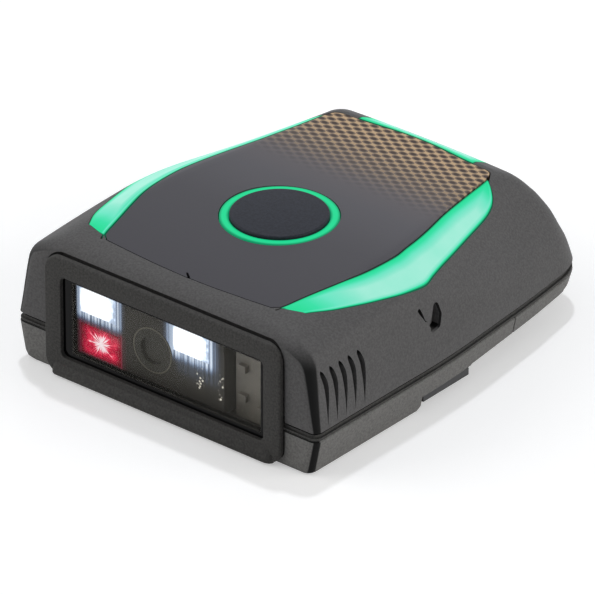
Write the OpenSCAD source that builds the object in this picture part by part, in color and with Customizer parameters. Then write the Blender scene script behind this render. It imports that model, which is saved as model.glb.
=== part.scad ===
/* [Body] */
// Width of the body at the seam
body_w = 50; // [49.6:0.1:51]
// Length of the body from the bezel lip to the rear end
body_l = 60; // [59.6:0.1:61]
// Height of the flat top above the rest face
body_h = 19.6; // [19.4:0.1:19.9]
// Thickness of the moulded walls
wall = 1.6; // [1.4:0.1:1.8]
// How far the front wall stands behind the bezel lip
lip_out = 1.4; // [1.2:0.1:1.6]

/* [Seam] */
// Height of the lower housing's rim
seam_low = 5.25; // [5.15:0.05:5.4]
// Height of the upper housing's rim
seam_high = 6.45; // [6.35:0.05:6.7]
// How far the gasket sits back in the seam
seam_depth = 0.3; // [0.2:0.1:0.6]

/* [Button] */
// Where the button stands along the body
button_y = -6.1; // [-6.5:0.1:-5.8]
// Outer radius of the light ring
ring_r = 7.7; // [7.5:0.1:7.8]
// Radius of the bore in which the button slides
ring_bore_r = 6.5; // [6.4:0.05:6.6]
// Running clearance round the button
button_fit = 0.08; // [0.05:0.01:0.1]
// How far the button stands out of the top
button_proud = 0.35; // [0.2:0.05:0.45]
// Travel of the button
button_travel = 0.6; // [0.4:0.1:0.6]

/* [Top] */
// Thickness of the top panel and the light guides
panel_t = 1.2; // [1:0.1:1.3]
// Gap round the panel and the light guides
trim_gap = 0.05; // [0.04:0.01:0.1]

/* [Window] */
// Half the width of the scan window
window_half_w = 16.75; // [16.4:0.05:16.9]
// Height of the window's lower edge
window_low = 2.95; // [2.85:0.05:3.1]
// Height of the window's upper edge
window_high = 14.55; // [14.4:0.05:14.7]
// Thickness of the window
window_t = 0.9; // [0.7:0.1:1]
// Half the width of the bezel
bezel_half_w = 19.45; // [19.2:0.05:19.6]
// Height of the bezel
bezel_high = 17.25; // [17.1:0.05:17.4]
// How far the bezel stands out of the front wall
bezel_out = 0.8; // [0.6:0.1:1]

/* [Sides] */
// Number of slots on each side
slot_count = 5; // [3:1:5]
// Distance from slot to slot
slot_pitch = 1.78; // [1.6:0.02:1.8]
// Depth of the slots
slot_depth = 1.1; // [0.5:0.1:1.2]

/* [Battery] */
// Width of the battery pack
battery_w = 29; // [26:0.5:29.5]
// Length of the battery pack
battery_l = 32; // [28:0.5:33]
// Height of the battery pack
battery_t = 7; // [6:0.1:7]

/* [Hidden] */
$fn = 44;

// Steps round a screw or a small round part
small_fn = 20;
// Overlap that lets a cut pass clean through a face
cut = 0.5;
// How far a cut runs on where nothing stands in its way
clear = 2;
// Thickness of a drawn slice
slice = 0.01;

half_w = body_w / 2;
front_y = -body_l / 2 + lip_out;
rear_y = body_l / 2;

// Share of the shell height at which each ring of the upper shell is drawn
ring_h = [0, 0.22, 0.38, 0.53, 0.68, 0.75, 0.83, 0.905, 0.95, 0.98, 1];
// How far each ring stands in from the widest half width: front corner, widest point, knee, rear corner
front_in = [0.2, 0.6, 0.85, 1.1, 1.4, 1.65, 2.3, 3.7, 4.9, 6, 7.4];
middle_in = [0, 0.4, 0.8, 1.05, 1.4, 1.7, 2.6, 4.8, 6, 7.1, 8.1];
knee_in = [1.5, 1.7, 2.7, 4.5, 6.3, 7.2, 8.1, 9, 10, 10.8, 11.7];
rear_in = [3.1, 3.9, 4.75, 5.95, 7.55, 8.35, 9.3, 10.3, 10.8, 11.3, 11.8];
// How far each ring stands back from the front wall and in from the rear end
front_back = [0, 0, 0, 0, 0, 0, 0, 0.25, 0.7, 1.3, 2.3];
rear_back = [0, 0.95, 1.8, 2.35, 3.2, 3.8, 4.55, 5.55, 6.6, 7.4, 8.1];
// Where the widest point lies along the body in each ring, and where the knee lies
middle_y = [-2, 3, 6, 3, -3, -4.5, -4.8, -5, -5, -5, -6];
knee_y = 16.7;
// How far each corner is rounded along its two sides, in the lowest and in the top ring
front_reach = [1.2, 2.4];
rear_reach = [6.3, 1.6];
middle_reach = 3;
knee_reach = 2.2;
// Steps round each of the four corners, and points along the two sides between them
corner_steps = [4, 3, 3, 5];
side_steps = [3, 2];
// How far the rear end bows out at its middle
rear_bow = 0.4;
// Crest of the top, how quickly it falls towards the front, and how it falls towards the rear
crest_y = -4;
front_fall = 0.0022;
rear_fall = 0.032;
rear_ease = 3;
// Size of the rings that close the top, as shares of the top ring
cap_rings = [0.8, 0.5, 0.2];
cap_y = -2;

// Height of the top surface at a place along the body
function top_z(y) = body_h - (y < crest_y ? front_fall * pow(crest_y - y, 2)
    : rear_fall * (norm([y - crest_y, rear_ease]) - rear_ease));
// A point between two others
function mix(a, b, t) = a + (b - a) * t;
// A point a given distance from one point towards another
function towards(a, b, d) = a + (b - a) * d / norm(b - a);
// The rounded corner at b on the way from a to c
function bend(a, b, c, reach, steps) =
    let (p = towards(b, a, reach), q = towards(b, c, reach))
    [for (i = [0:steps]) let (t = i / steps) mix(mix(p, b, t), mix(b, q, t), t)];
// Points between two others, without the two ends
function between(a, b, count) = [for (i = [1:count]) mix(a, b, i / (count + 1))];

// Right half of ring k, from the front middle to the rear middle, drawn in at the sides and at the front
function half_ring(k, inset, front) =
    let (
        h = ring_h[k],
        f0 = [0, front_y + front_back[k] + front],
        f = [half_w - front_in[k] - inset, f0[1]],
        m = [half_w - middle_in[k] - inset, middle_y[k]],
        n = [half_w - knee_in[k] - inset, knee_y],
        r = [half_w - rear_in[k] - inset, rear_y - rear_back[k] - rear_bow - inset],
        r0 = [0, rear_y - rear_back[k] - inset],
        corner_f = bend(f0, f, m, mix(front_reach[0], front_reach[1], h), corner_steps[0]),
        corner_m = bend(f, m, n, middle_reach, corner_steps[1]),
        corner_n = bend(m, n, r, knee_reach, corner_steps[2]),
        corner_r = bend(n, r, r0, mix(rear_reach[0], rear_reach[1], h), corner_steps[3])
    )
    concat([f0], corner_f, between(corner_f[corner_steps[0]], corner_m[0], side_steps[0]), corner_m,
        between(corner_m[corner_steps[1]], corner_n[0], side_steps[1]), corner_n, corner_r, [r0]);
// The whole ring, counter-clockwise seen from above
function whole_ring(k, inset, front) =
    let (half = half_ring(k, inset, is_undef(front) ? inset : front), last = len(half) - 1)
    concat(half, [for (i = [last - 1:-1:1]) [-half[i][0], half[i][1]]]);

// The upper body as one solid, drawn in by an inset and lowered by a drop, from a base height up
module shell_solid(inset = 0, drop = 0, base = seam_high) {
    rings = [for (k = [0:len(ring_h) - 1]) [for (p = whole_ring(k, inset))
        [p[0], p[1], mix(base, top_z(p[1]) - drop, ring_h[k])]]];
    top = whole_ring(len(ring_h) - 1, inset);
    caps = [for (s = cap_rings) [for (p = top)
        let (y = cap_y + (p[1] - cap_y) * s) [p[0] * s, y, top_z(y) - drop]]];
    all_rings = concat(rings, caps);
    n = len(top);
    m = len(all_rings);
    points = concat([for (ring = all_rings) each ring], [[0, cap_y, top_z(cap_y) - drop]]);
    sides = [for (k = [0:m - 2]) for (i = [0:n - 1]) let (j = (i + 1) % n, a = k * n)
        each [[a + i, a + n + j, a + j], [a + i, a + n + i, a + n + j]]];
    closing = [for (i = [0:n - 1]) [(m - 1) * n + i, m * n, (m - 1) * n + (i + 1) % n]];
    polyhedron(points, concat([[for (i = [0:n - 1]) i]], sides, closing), convexity = 4);
}

// Outline of the top panel and the light guides, station by station from front to rear
station_y = [-23.3, -22.4, -19.3, -15.3, -11.8, -8.5, -4.8, -2.2, 0.7, 3.7, 8, 12.7, 15.1, 16.8, 18.1, 19];
// Half width of the panel at each station
inner_x = [14.5, 14.8, 15.55, 16.6, 17.4, 17.75, 17.8, 17.45, 17, 16.4, 15.4, 14.55, 14.15, 13.9, 13.7,
    13.55];
// Half width of the light guides' outer edges at each station
outer_x = [15, 18, 19.65, 20.95, 21.9, 22.6, 22.75, 22.15, 21.35, 20.55, 19.35, 18.05, 17.25, 16.4, 15.15,
    13.95];
// Front line of the panel, a shallow bow: half width and place
panel_front = [[0.2, -24.8], [5, -24.65], [9.7, -24.33], [13.6, -24], [14.5, -23.3]];
// Rear corner of the panel: half width and place
panel_corner = [[13.2, 20.2], [12.8, 20.75], [12, 21]];
// Rear edge of the panel: half width and place where its bow starts, how far it bows out at the middle
bow_half = 11;
bow_y = 21.1;
bow_out = 0.85;
bow_steps = 8;
// Rear light guide: half width and rear edge
strip_half = 9.6;
strip_y = 24.2;

stations = len(station_y) - 1;
// Place of the panel's rear edge at a half width
function rear_edge(x) = bow_y + bow_out * (1 + cos(180 * x / bow_half)) / 2;
panel_rear = [for (i = [0:bow_steps]) let (x = bow_half * (1 - i / bow_steps)) [x + slice, rear_edge(x)]];
panel_side = [for (i = [1:stations]) [inner_x[i], station_y[i]]];
panel_outline = concat(panel_front, panel_side, panel_corner, panel_rear);

// A wedge of the outline between two stations, standing upright through the top
module wedge(a, b, left_a, left_b) {
    hull() {
        linear_extrude(body_h + cut) {
            polygon([[left_a, a[1]], [a[0], a[1]], [b[0], b[1]], [left_b, b[1]]]);
        }
    }
}

// The panel's outline standing upright, drawn in by a gap
module panel_block(gap) {
    for (i = [0:len(panel_outline) - 2]) {
        a = panel_outline[i] + [-gap, i < len(panel_front) ? gap : 0];
        b = panel_outline[i + 1] + [-gap, i + 1 < len(panel_front) ? gap : 0];
        wedge(a, b, -a[0], -b[0]);
    }
}

// One light guide's outline standing upright on the right side, drawn in by a gap
module guide_block(gap) {
    for (i = [0:stations - 1]) {
        wedge([outer_x[i] - gap, station_y[i]], [outer_x[i + 1] - gap, station_y[i + 1]],
            inner_x[i] + gap, inner_x[i + 1] + gap);
    }
}

// The rear light guide's outline standing upright behind the panel, drawn in by a gap
module strip_block(gap) {
    difference() {
        translate([-strip_half + gap, bow_y - gap, 0]) {
            cube([2 * (strip_half - gap), strip_y - bow_y, body_h + cut]);
        }
        translate([0, gap, -cut]) scale([1, 1, 2]) panel_block(-gap);
    }
}

// How far the pockets go in from the side for each step down
trim_share = 0.6;

// The layer of the top that the panel and the guides take up
module trim_layer(depth) {
    difference() {
        shell_solid();
        shell_solid(inset = depth * trim_share, drop = depth);
    }
}

// Copies on both sides of the body
module both_sides() {
    children();
    mirror([1, 0, 0]) children();
}

// A box by its middle in width and length and its lower face in height
module block(size, place) {
    translate([place[0] - size[0] / 2, place[1] - size[1] / 2, place[2]]) cube(size);
}

// A rounded rectangle seen from the front, between two heights
module front_plate(half, low, high, r, from_y, to_y) {
    translate([0, to_y, 0]) rotate([90, 0, 0]) linear_extrude(to_y - from_y) {
        translate([-half + r, low + r]) offset(r) square([2 * (half - r), high - low - 2 * r]);
    }
}

// Screws of the case: place of each on the right side and the height of its head
case_screw_at = [[20.4, -20.6, 1.3], [20.5, 7.6, 3.2], [18.7, 22.5, 3.6]];
case_screw_r = 1;
case_head_r = 1.9;
case_head_t = 1.1;
case_screw_l = 8;
boss_r = 2.2;
screw_gap = 0.06;

// Screws of the main board on the right side and their size
board_screw_at = [[12.5, -12.4], [11.2, 17.6]];
board_screw_r = 0.8;
board_head_r = 1.5;
board_head_t = 0.9;
board_screw_l = 4;
post_r = 1.8;
// Height at which the holes for the board screws end
pilot_z = 16.6;

// Feet of the light guides on the right side, of the rear guide and their size
guide_foot_at = [[19.4, -9], [19.2, -3.4], [18, 1.6]];
strip_foot_at = [7, 22.25];
foot_r = 0.9;
strip_foot_r = 0.45;
foot_z = 14.95;

// Depth of the cavity's ceiling below the top
ceiling = 2.8;
// Opening in the front walls behind the bezel: half width, lower edge, upper edge, corner radius
front_open = [17.6, 2.15, 15.35, 1.2];

// Teardrop recess on the side: place, height and radius of each circle it spans, then its depth
recess_at = [[-3.95, 13.95, 0.45], [-3.6, 12.6, 0.55], [-4.3, 11.4, 0.45]];
recess_depth = 1.1;
// Slanted cut beside the recess: place and height of its ends, width and depth
slash_at = [[-7.15, 14.6], [-6.1, 12.75]];
slash_w = 0.4;
slash_depth = 0.7;

// Slots on the side: first place, lower and upper end, half width at the two ends
slot_y = -26.2;
slot_z = [6.8, 14.2];
slot_half = [0.08, 0.38];

// Half width of the upper wall at a height
function wall_x(z) = half_w - lookup((z - seam_high) / (body_h - seam_high),
    [for (k = [0:len(ring_h) - 1]) [ring_h[k], middle_in[k]]]);

module side_slots() {
    for (i = [0:slot_count - 1]) {
        hull() {
            for (e = [0, 1]) {
                y = slot_y + i * slot_pitch - slot_half[e];
                translate([wall_x(slot_z[e]) - slot_depth, y, slot_z[e]]) {
                    cube([3 * slot_depth, 2 * slot_half[e], slice]);
                }
            }
        }
    }
}

module side_recess() {
    hull() {
        for (p = recess_at) {
            translate([wall_x(p[1]) - recess_depth, p[0], p[1]]) rotate([0, 90, 0]) {
                cylinder(r = p[2], h = 3 * recess_depth);
            }
        }
    }
    hull() {
        for (p = slash_at) {
            translate([wall_x(p[1]) - slash_depth, p[0] - slash_w / 2, p[1]]) {
                cube([3 * slash_depth, slash_w, slice]);
            }
        }
    }
}

// Screw bosses and board posts inside the upper housing
module upper_bosses() {
    both_sides() {
        for (p = case_screw_at) {
            translate([p[0], p[1], seam_high]) cylinder(r = boss_r, h = body_h, $fn = small_fn);
        }
        for (p = board_screw_at) {
            translate([p[0], p[1], board_top + trim_gap]) cylinder(r = post_r, h = body_h, $fn = small_fn);
        }
    }
}

// Upper housing: moulded shell with pockets for the panel, the guides and the ring
module upper_housing() {
    color("#3b3b3e") difference() {
        shell_solid();
        difference() {
            shell_solid(inset = wall, drop = ceiling, base = seam_high - cut);
            upper_bosses();
        }
        difference() {
            union() {
                panel_block(0);
                both_sides() guide_block(0);
                translate([-strip_half, bow_y, 0]) cube([2 * strip_half, strip_y - bow_y, body_h + cut]);
            }
            shell_solid(inset = (panel_t + trim_gap) * trim_share, drop = panel_t + trim_gap);
        }
        both_sides() {
            side_slots();
            side_recess();
            for (p = case_screw_at) {
                translate([p[0], p[1], 0]) {
                    cylinder(r = case_screw_r + screw_gap, h = p[2] + case_screw_l + cut, $fn = small_fn);
                }
            }
            for (p = board_screw_at) {
                translate([p[0], p[1], 0]) {
                    cylinder(r = board_screw_r + screw_gap, h = pilot_z, $fn = small_fn);
                }
            }
            for (p = guide_foot_at) {
                translate([p[0], p[1], foot_z - cut]) {
                    cylinder(r = foot_r + trim_gap, h = body_h, $fn = small_fn);
                }
            }
            translate([strip_foot_at[0], strip_foot_at[1], foot_z - cut]) {
                cylinder(r = strip_foot_r + trim_gap, h = body_h, $fn = small_fn);
            }
        }
        translate([0, button_y, seam_high]) cylinder(r = ring_r + trim_gap, h = body_h);
        front_plate(front_open[0], front_open[1], front_open[2], front_open[3],
            front_y - cut, front_y + wall + cut);
    }
}

// Lower body: rings from the bottom edge up, each with a height and its insets at the sides and at the front
lower_rings = [[0, 1.55, 0.5], [0.4, 1.05, 0.15], [1.1, 0.8, 0], [seam_low, 0, 0]];
// Underside behind the front block: front edge, height over the latch plate, its rear edge
under_y = -7.2;
under_z = 2.4;
step_y = 3.1;
// Heights of the sloped underside at the step and at the rear end
under_rise = [2.55, 3.45];
// Foot that carries the rear: half width and rear edge
foot_half_w = 16.4;
foot_rear = 24.4;
// Joint between lower housing and battery door
door_y = 12.2;
door_gap = 0.12;
// Inside floors: over the front block, over the latch plate, in the foot, at the rear
floor_z = [1.6, 3.8, 1.7, 4.6];
// Rear edge of the floor over the latch plate
plate_floor_rear = 5.1;

module slab(a, b) {
    hull() {
        translate([0, 0, a[0]]) linear_extrude(slice) polygon(whole_ring(0, a[1], a[2]));
        translate([0, 0, b[0] - slice]) linear_extrude(slice) polygon(whole_ring(0, b[1], b[2]));
    }
}

module lower_body() {
    difference() {
        for (k = [0:2]) slab(lower_rings[k], lower_rings[k + 1]);
        block([body_w + clear, step_y - under_y, under_z + cut], [0, (under_y + step_y) / 2, -cut]);
        both_sides() {
            hull() {
                for (e = [[step_y, under_rise[0]], [rear_y + cut, under_rise[1]]]) {
                    translate([foot_half_w, e[0] - slice, -cut]) cube([half_w, slice, e[1] + cut]);
                }
            }
        }
        hull() {
            for (e = [foot_rear, rear_y + cut]) {
                translate([-half_w, e, -cut]) cube([body_w, slice, under_rise[1] + cut]);
            }
        }
    }
}

module lower_cavity() {
    intersection() {
        hull() {
            translate([0, 0, floor_z[0]]) linear_extrude(seam_low) {
                polygon(whole_ring(0, wall + lower_rings[2][1]));
            }
        }
        union() {
            block([body_w, under_y - wall - front_y, seam_low + cut],
                [0, (under_y - wall + front_y) / 2, floor_z[0]]);
            block([body_w, plate_floor_rear - under_y + 2 * wall, seam_low + cut],
                [0, (plate_floor_rear + under_y - 2 * wall) / 2, floor_z[1]]);
            block([2 * (foot_half_w - wall), foot_rear - step_y - 2 * wall, seam_low + cut],
                [0, (foot_rear + step_y) / 2, floor_z[2]]);
            block([body_w, rear_y - step_y, seam_low + cut], [0, (rear_y + step_y) / 2, floor_z[3]]);
        }
    }
}

// Holes for the case screws through the lower parts, with sunk heads
module case_screw_holes() {
    both_sides() {
        for (p = case_screw_at) {
            translate([p[0], p[1], -cut]) {
                cylinder(r = case_screw_r + screw_gap, h = body_h, $fn = small_fn);
                cylinder(r = case_head_r + screw_gap, h = p[2] + case_head_t + cut, $fn = small_fn);
            }
        }
    }
}

// Wall of the pads round the case screws, and where the front pads start
pad_wall = 0.6;
front_pad_z = 1;

// Pads round the case screws that carry the heads, up to the seam
module lower_pads() {
    both_sides() {
        for (p = case_screw_at) {
            translate([p[0], p[1], under_rise[1]]) {
                cylinder(r = boss_r + pad_wall, h = seam_low - under_rise[1], $fn = small_fn);
            }
        }
        translate([case_screw_at[0][0], case_screw_at[0][1], front_pad_z]) {
            cylinder(r = boss_r + pad_wall, h = seam_low - front_pad_z, $fn = small_fn);
        }
    }
}

// Collars on the pads that reach through the seam to the upper bosses
module lower_collars() {
    both_sides() {
        for (p = case_screw_at) {
            translate([p[0], p[1], seam_low - cut]) {
                cylinder(r = case_head_r, h = seam_high - seam_low + cut - trim_gap, $fn = small_fn);
            }
        }
    }
}

module lower_shell() {
    difference() {
        union() {
            difference() {
                lower_body();
                lower_cavity();
            }
            intersection() {
                lower_pads();
                lower_body();
            }
            lower_collars();
        }
        case_screw_holes();
        latch_screw_holes();
    }
}

// Lower housing: moulded tray with the front block that the scanner rests on
module lower_housing() {
    color("#38383b") difference() {
        lower_shell();
        block([body_w + clear, rear_y, 2 * seam_high], [0, door_y + rear_y / 2, -cut]);
        front_plate(front_open[0], front_open[1], front_open[2], front_open[3],
            front_y - cut, front_y + wall + clear);
        for (p = pad_x) {
            block([pad[0] + 2 * trim_gap, pad[1] + 2 * trim_gap, 2 * floor_z[0]], [p, pad_y, -cut]);
        }
    }
}

// Battery door: the rear part of the underside
module battery_door() {
    color("#3d3d40") difference() {
        lower_shell();
        block([body_w + clear, body_l, 2 * seam_high], [0, door_y + door_gap - body_l / 2, -cut]);
    }
}

// Seam gasket: dark strip between the two housings
module seam_gasket() {
    height = seam_high - seam_low - 2 * trim_gap;
    color("#161618") translate([0, 0, seam_low + trim_gap]) linear_extrude(height) difference() {
        polygon(whole_ring(0, seam_depth));
        polygon(whole_ring(0, wall));
        translate([-front_open[0], front_y - cut]) square([2 * front_open[0], wall + 2 * cut]);
    }
}

// Top panel: printed insert, flush with the housing
module top_panel() {
    color("#3c3f4a") difference() {
        intersection() {
            panel_block(trim_gap);
            trim_layer(panel_t);
        }
        translate([0, button_y, 0]) cylinder(r = ring_r + trim_gap, h = 2 * body_h);
    }
}

// Light guide on the right shoulder with its feet above the lamps
module guide_right() {
    intersection() {
        guide_block(trim_gap);
        trim_layer(panel_t);
    }
    intersection() {
        for (p = guide_foot_at) {
            translate([p[0], p[1], foot_z]) cylinder(r = foot_r, h = body_h, $fn = small_fn);
        }
        shell_solid(inset = panel_t / 2, drop = panel_t / 2);
    }
}

module light_guide_right() {
    color("#2fe39a") guide_right();
}

module light_guide_left() {
    color("#2fe39a") mirror([1, 0, 0]) guide_right();
}

// Light guide along the rear edge of the panel
module light_guide_rear() {
    color("#7df0c4") {
        intersection() {
            strip_block(trim_gap);
            trim_layer(panel_t);
        }
        intersection() {
            both_sides() {
                translate([strip_foot_at[0], strip_foot_at[1], foot_z]) {
                    cylinder(r = strip_foot_r, h = body_h, $fn = small_fn);
                }
            }
            shell_solid(inset = panel_t / 2, drop = panel_t / 2);
        }
    }
}

// Light ring: clear ring that carries light up from the board and guides the button
module light_ring() {
    color("#1fd68f") translate([0, button_y, foot_z]) difference() {
        cylinder(r = ring_r, h = body_h - foot_z - trim_gap);
        translate([0, 0, -cut]) cylinder(r = ring_bore_r, h = body_h);
    }
}

button_r = ring_bore_r - button_fit;
button_t = 1.7;
stem_r = 2;
stem_z = 16.47;
stem_fit = 0.06;

// Scan button: disc with a stem
module scan_button() {
    color("#2b2c31") translate([0, button_y, 0]) {
        translate([0, 0, body_h + button_proud - button_t]) cylinder(r = button_r, h = button_t);
        translate([0, 0, stem_z]) cylinder(r = stem_r, h = body_h - stem_z - cut, $fn = small_fn);
    }
}

seal_z = 16.65;
seal_t = 0.5;

// Button seal: rubber disc round the stem
module button_seal() {
    color("#202022") translate([0, button_y, seal_z]) difference() {
        cylinder(r = ring_bore_r - trim_gap, h = seal_t);
        translate([0, 0, -cut]) cylinder(r = stem_r + stem_fit, h = clear, $fn = small_fn);
    }
}

spring_r = [3.6, 2.6];
spring_t = 0.3;

// Button spring: flat washer spring below the disc
module button_spring() {
    color("#c9ccd0") translate([0, button_y, seal_z + seal_t]) difference() {
        cylinder(r = spring_r[0], h = spring_t);
        translate([0, 0, -cut]) cylinder(r = spring_r[1], h = clear);
    }
}

board_z = 12.55;
board_t = 1;
board_top = board_z + board_t;
switch_size = [6, 6, 2];
switch_floor = 0.5;
plunger_r = 1.55;
plunger_fit = 0.05;
// Space left below the plunger at the end of its travel
plunger_rest = 0.3;
plunger_z = board_top + switch_floor + button_travel + plunger_rest;

// Tactile switch on the main board
module tactile_switch() {
    color("#d8d9db") difference() {
        block(switch_size, [0, button_y, board_top]);
        translate([0, button_y, board_top + switch_floor]) {
            cylinder(r = plunger_r + plunger_fit, h = switch_size[2]);
        }
    }
}

// Plunger of the switch, pressed by the stem
module switch_plunger() {
    color("#202022") translate([0, button_y, plunger_z]) cylinder(r = plunger_r, h = stem_z - plunger_z);
}

bezel_r = 2.3;
bezel_y = front_y - bezel_out;
opening_r = 0.8;
lip_half = 18.2;
lip_z = [0.3, 1, 1.9];
bezel_low = 0.15;
bezel_gap = 0.1;

module bezel_frame() {
    difference() {
        union() {
            front_plate(bezel_half_w, bezel_low, bezel_high, bezel_r, bezel_y, front_y);
            hull() {
                for (z = [lip_z[0], lip_z[1]]) {
                    translate([-lip_half, -body_l / 2, z]) cube([2 * lip_half, lip_out, slice]);
                }
                translate([-lip_half, bezel_y, lip_z[2]]) cube([2 * lip_half, bezel_out, slice]);
            }
        }
        front_plate(window_half_w, window_low, window_high, opening_r, -body_l, front_y + cut);
    }
}

// Upper bezel: rubber frame round the upper part of the window
module bezel_upper() {
    color("#2a2a2a") intersection() {
        bezel_frame();
        block([body_w, body_l, body_h], [0, 0, seam_low + bezel_gap]);
    }
}

// Lower bezel: the rest of the frame with the lip below the window
module bezel_lower() {
    color("#2a2a2a") intersection() {
        bezel_frame();
        block([body_w, body_l, seam_low], [0, 0, 0]);
    }
}

// How far the pane stands out of the front wall
window_out = 0.25;
window_y = front_y - window_out;
seat_gap = 0.05;

// Scan window: clear pane in the bezel
module scan_window() {
    color([0.5, 0.52, 0.55, 0.35]) {
        front_plate(window_half_w - seat_gap, window_low + seat_gap, window_high - seat_gap,
            opening_r, window_y, window_y + window_t);
    }
}

gasket_t = 0.5;
gasket_w = 1.1;

// Window gasket: rubber frame behind the pane
module window_gasket() {
    y = window_y + window_t + seat_gap;
    color("#1a1a1a") difference() {
        front_plate(front_open[0] - seat_gap, front_open[1] + seat_gap, front_open[2] - seat_gap,
            front_open[3], y, y + gasket_t);
        front_plate(front_open[0] - gasket_w, front_open[1] + gasket_w, front_open[2] - gasket_w,
            opening_r, y - cut, y + gasket_t + cut);
    }
}

// Scan engine: chassis size and place, then the lamp pockets, the aimer pocket and the camera bore
chassis = [25, 10.8, 11.3];
chassis_at = [-4.4, -21.2, 2.35];
chassis_front = chassis_at[1] - chassis[1] / 2;
lamp_x = [-12.9, 2.6];
lamp_z = 10.65;
lamp_lens = [5.9, 2, 3.7];
aimer_x = -12.4;
aimer_z = 5.05;
aimer_lens = [6.6, 2, 4.2];
camera_x = -3.8;
camera_z = 7.35;
barrel_r = 3.3;
barrel_l = 7.5;
lens_r = 1.9;
lens_t = 1.6;
lens_back = 0.5;
pocket_l = 3.4;
lamp = [3, 0.9, 2.6];
aimer = [1.8, 0.9, 1.8];

// A box seen from the front: middle at a place and height, set back from the chassis front
module front_block(size, x, z, back) {
    translate([x - size[0] / 2, chassis_front + back, z - size[2] / 2]) cube(size);
}

module camera_bore(r, l, back) {
    translate([camera_x, chassis_front + back, camera_z]) rotate([-90, 0, 0]) cylinder(r = r, h = l);
}

// Engine chassis: black carrier of lamps, aimer and camera
module engine_chassis() {
    gap = 2 * seat_gap;
    color("#1c1c1e") difference() {
        block(chassis, chassis_at);
        for (x = lamp_x) {
            front_block([lamp_lens[0] + gap, pocket_l + cut, lamp_lens[2] + gap], x, lamp_z, -cut);
        }
        front_block([aimer_lens[0] + gap, pocket_l + cut, aimer_lens[2] + gap], aimer_x, aimer_z, -cut);
        camera_bore(barrel_r + seat_gap, chassis[1] + 2 * cut, -cut);
    }
}

module white_lamp_outer() {
    color("#f4f6ff") front_block(lamp, lamp_x[0], lamp_z, pocket_l - lamp[1]);
}

module white_lamp_inner() {
    color("#f4f6ff") front_block(lamp, lamp_x[1], lamp_z, pocket_l - lamp[1]);
}

// Clear lenses in front of the white lamps
module lamp_lens_outer() {
    color([0.95, 0.97, 1, 0.6]) front_block(lamp_lens, lamp_x[0], lamp_z, 0);
}

module lamp_lens_inner() {
    color([0.95, 0.97, 1, 0.6]) front_block(lamp_lens, lamp_x[1], lamp_z, 0);
}

module aiming_lamp() {
    color("#d02030") front_block(aimer, aimer_x, aimer_z, pocket_l - aimer[1]);
}

// Red lens in front of the aiming lamp
module aiming_lens() {
    color([0.8, 0.08, 0.12, 0.7]) front_block(aimer_lens, aimer_x, aimer_z, 0);
}

// Camera barrel with its lens and the image sensor behind it
module camera_barrel() {
    color("#0f0f10") difference() {
        camera_bore(barrel_r, barrel_l, 0);
        camera_bore(lens_r + seat_gap, barrel_l + 2 * cut, -cut);
    }
}

module camera_lens() {
    color("#20242c") camera_bore(lens_r, lens_t, lens_back);
}

sensor = [4.4, 1, 3.6];

module image_sensor() {
    color("#4a5560") front_block(sensor, camera_x, camera_z, barrel_l + seat_gap);
}

engine_board_size = [24, 0.9, 10.5];

// Board behind the chassis
module engine_board() {
    color("#1f5a3a") front_block(engine_board_size, chassis_at[0], chassis_at[2] + chassis[2] / 2,
        chassis[1] + seat_gap);
}

side_board_size = [6.4, 1, 9.8];
side_board_at = [12.4, 7.25];
side_back = 1;
side_chip = [1.2, 0.6, 1];
side_chip_at = [[10.6, 9.75], [10.6, 5.55], [13.6, 4.55]];

// Small board with chips to the right of the engine
module side_board() {
    color("#6b5f3c") {
        front_block(side_board_size, side_board_at[0], side_board_at[1], side_back);
        for (p = side_chip_at) front_block(side_chip, p[0], p[1], side_back - side_chip[1]);
    }
}

flex_w = 12;
flex_t = 0.2;
flex_x = chassis_at[0];
flex_start = chassis_front + chassis[1] + seat_gap + engine_board_size[1] + seat_gap;
flex_end = -11.5;
flex_low = 8.35;
flex_top = board_z - seat_gap;

// Flex cable from the engine board up to the main board
module engine_flex() {
    color("#b5762a") translate([flex_x - flex_w / 2, 0, 0]) rotate([90, 0, 90]) linear_extrude(flex_w) {
        polygon([[flex_start, flex_low], [flex_start + flex_t, flex_low],
            [flex_start + flex_t, flex_top - flex_t], [flex_end, flex_top - flex_t],
            [flex_end, flex_top], [flex_start, flex_top]]);
    }
}

// Main board: outline on the right side from front to rear
board_half = [[14, -14.6], [20.4, -11.5], [20.4, -3], [19.2, 2.8], [17, 5.4], [15.2, 12], [14, 23.2]];

module main_board() {
    left_half = [for (i = [len(board_half) - 1:-1:0]) [-board_half[i][0], board_half[i][1]]];
    color("#1d5638") translate([0, 0, board_z]) linear_extrude(board_t) difference() {
        polygon(concat(board_half, left_half));
        both_sides() {
            for (p = board_screw_at) {
                translate(p) circle(r = board_screw_r + screw_gap, $fn = small_fn);
            }
        }
    }
}

chip_gap = 0.02;
processor_size = [9, 9, 1];
processor_at = [-11, 4, board_top + chip_gap];

module processor() {
    color("#18181a") block(processor_size, processor_at);
}

shield_size = [11, 9, 1.8];
shield_at = [0, 10, board_top + chip_gap];

// Metal can over the radio
module radio_shield() {
    color("#b9bcc0") block(shield_size, shield_at);
}

antenna_size = [9, 2, 1.2];
antenna_at = [0, 17.6, board_top + chip_gap];

module antenna() {
    color("#e6e2d6") block(antenna_size, antenna_at);
}

guide_lamp = [1.6, 1.6, 0.7];
ring_lamp = [1, 1, 0.7];
ring_lamp_r = 7.1;

// Lamps on the main board below the guides and the ring
module guide_lamps() {
    z = board_top + chip_gap;
    color("#f0f4e8") {
        both_sides() {
            for (p = guide_foot_at) block(guide_lamp, [p[0], p[1], z]);
            block(guide_lamp, [strip_foot_at[0], strip_foot_at[1], z]);
            for (a = [-45, 45]) block(ring_lamp, [ring_lamp_r * cos(a), button_y + ring_lamp_r * sin(a), z]);
        }
    }
}

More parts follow.
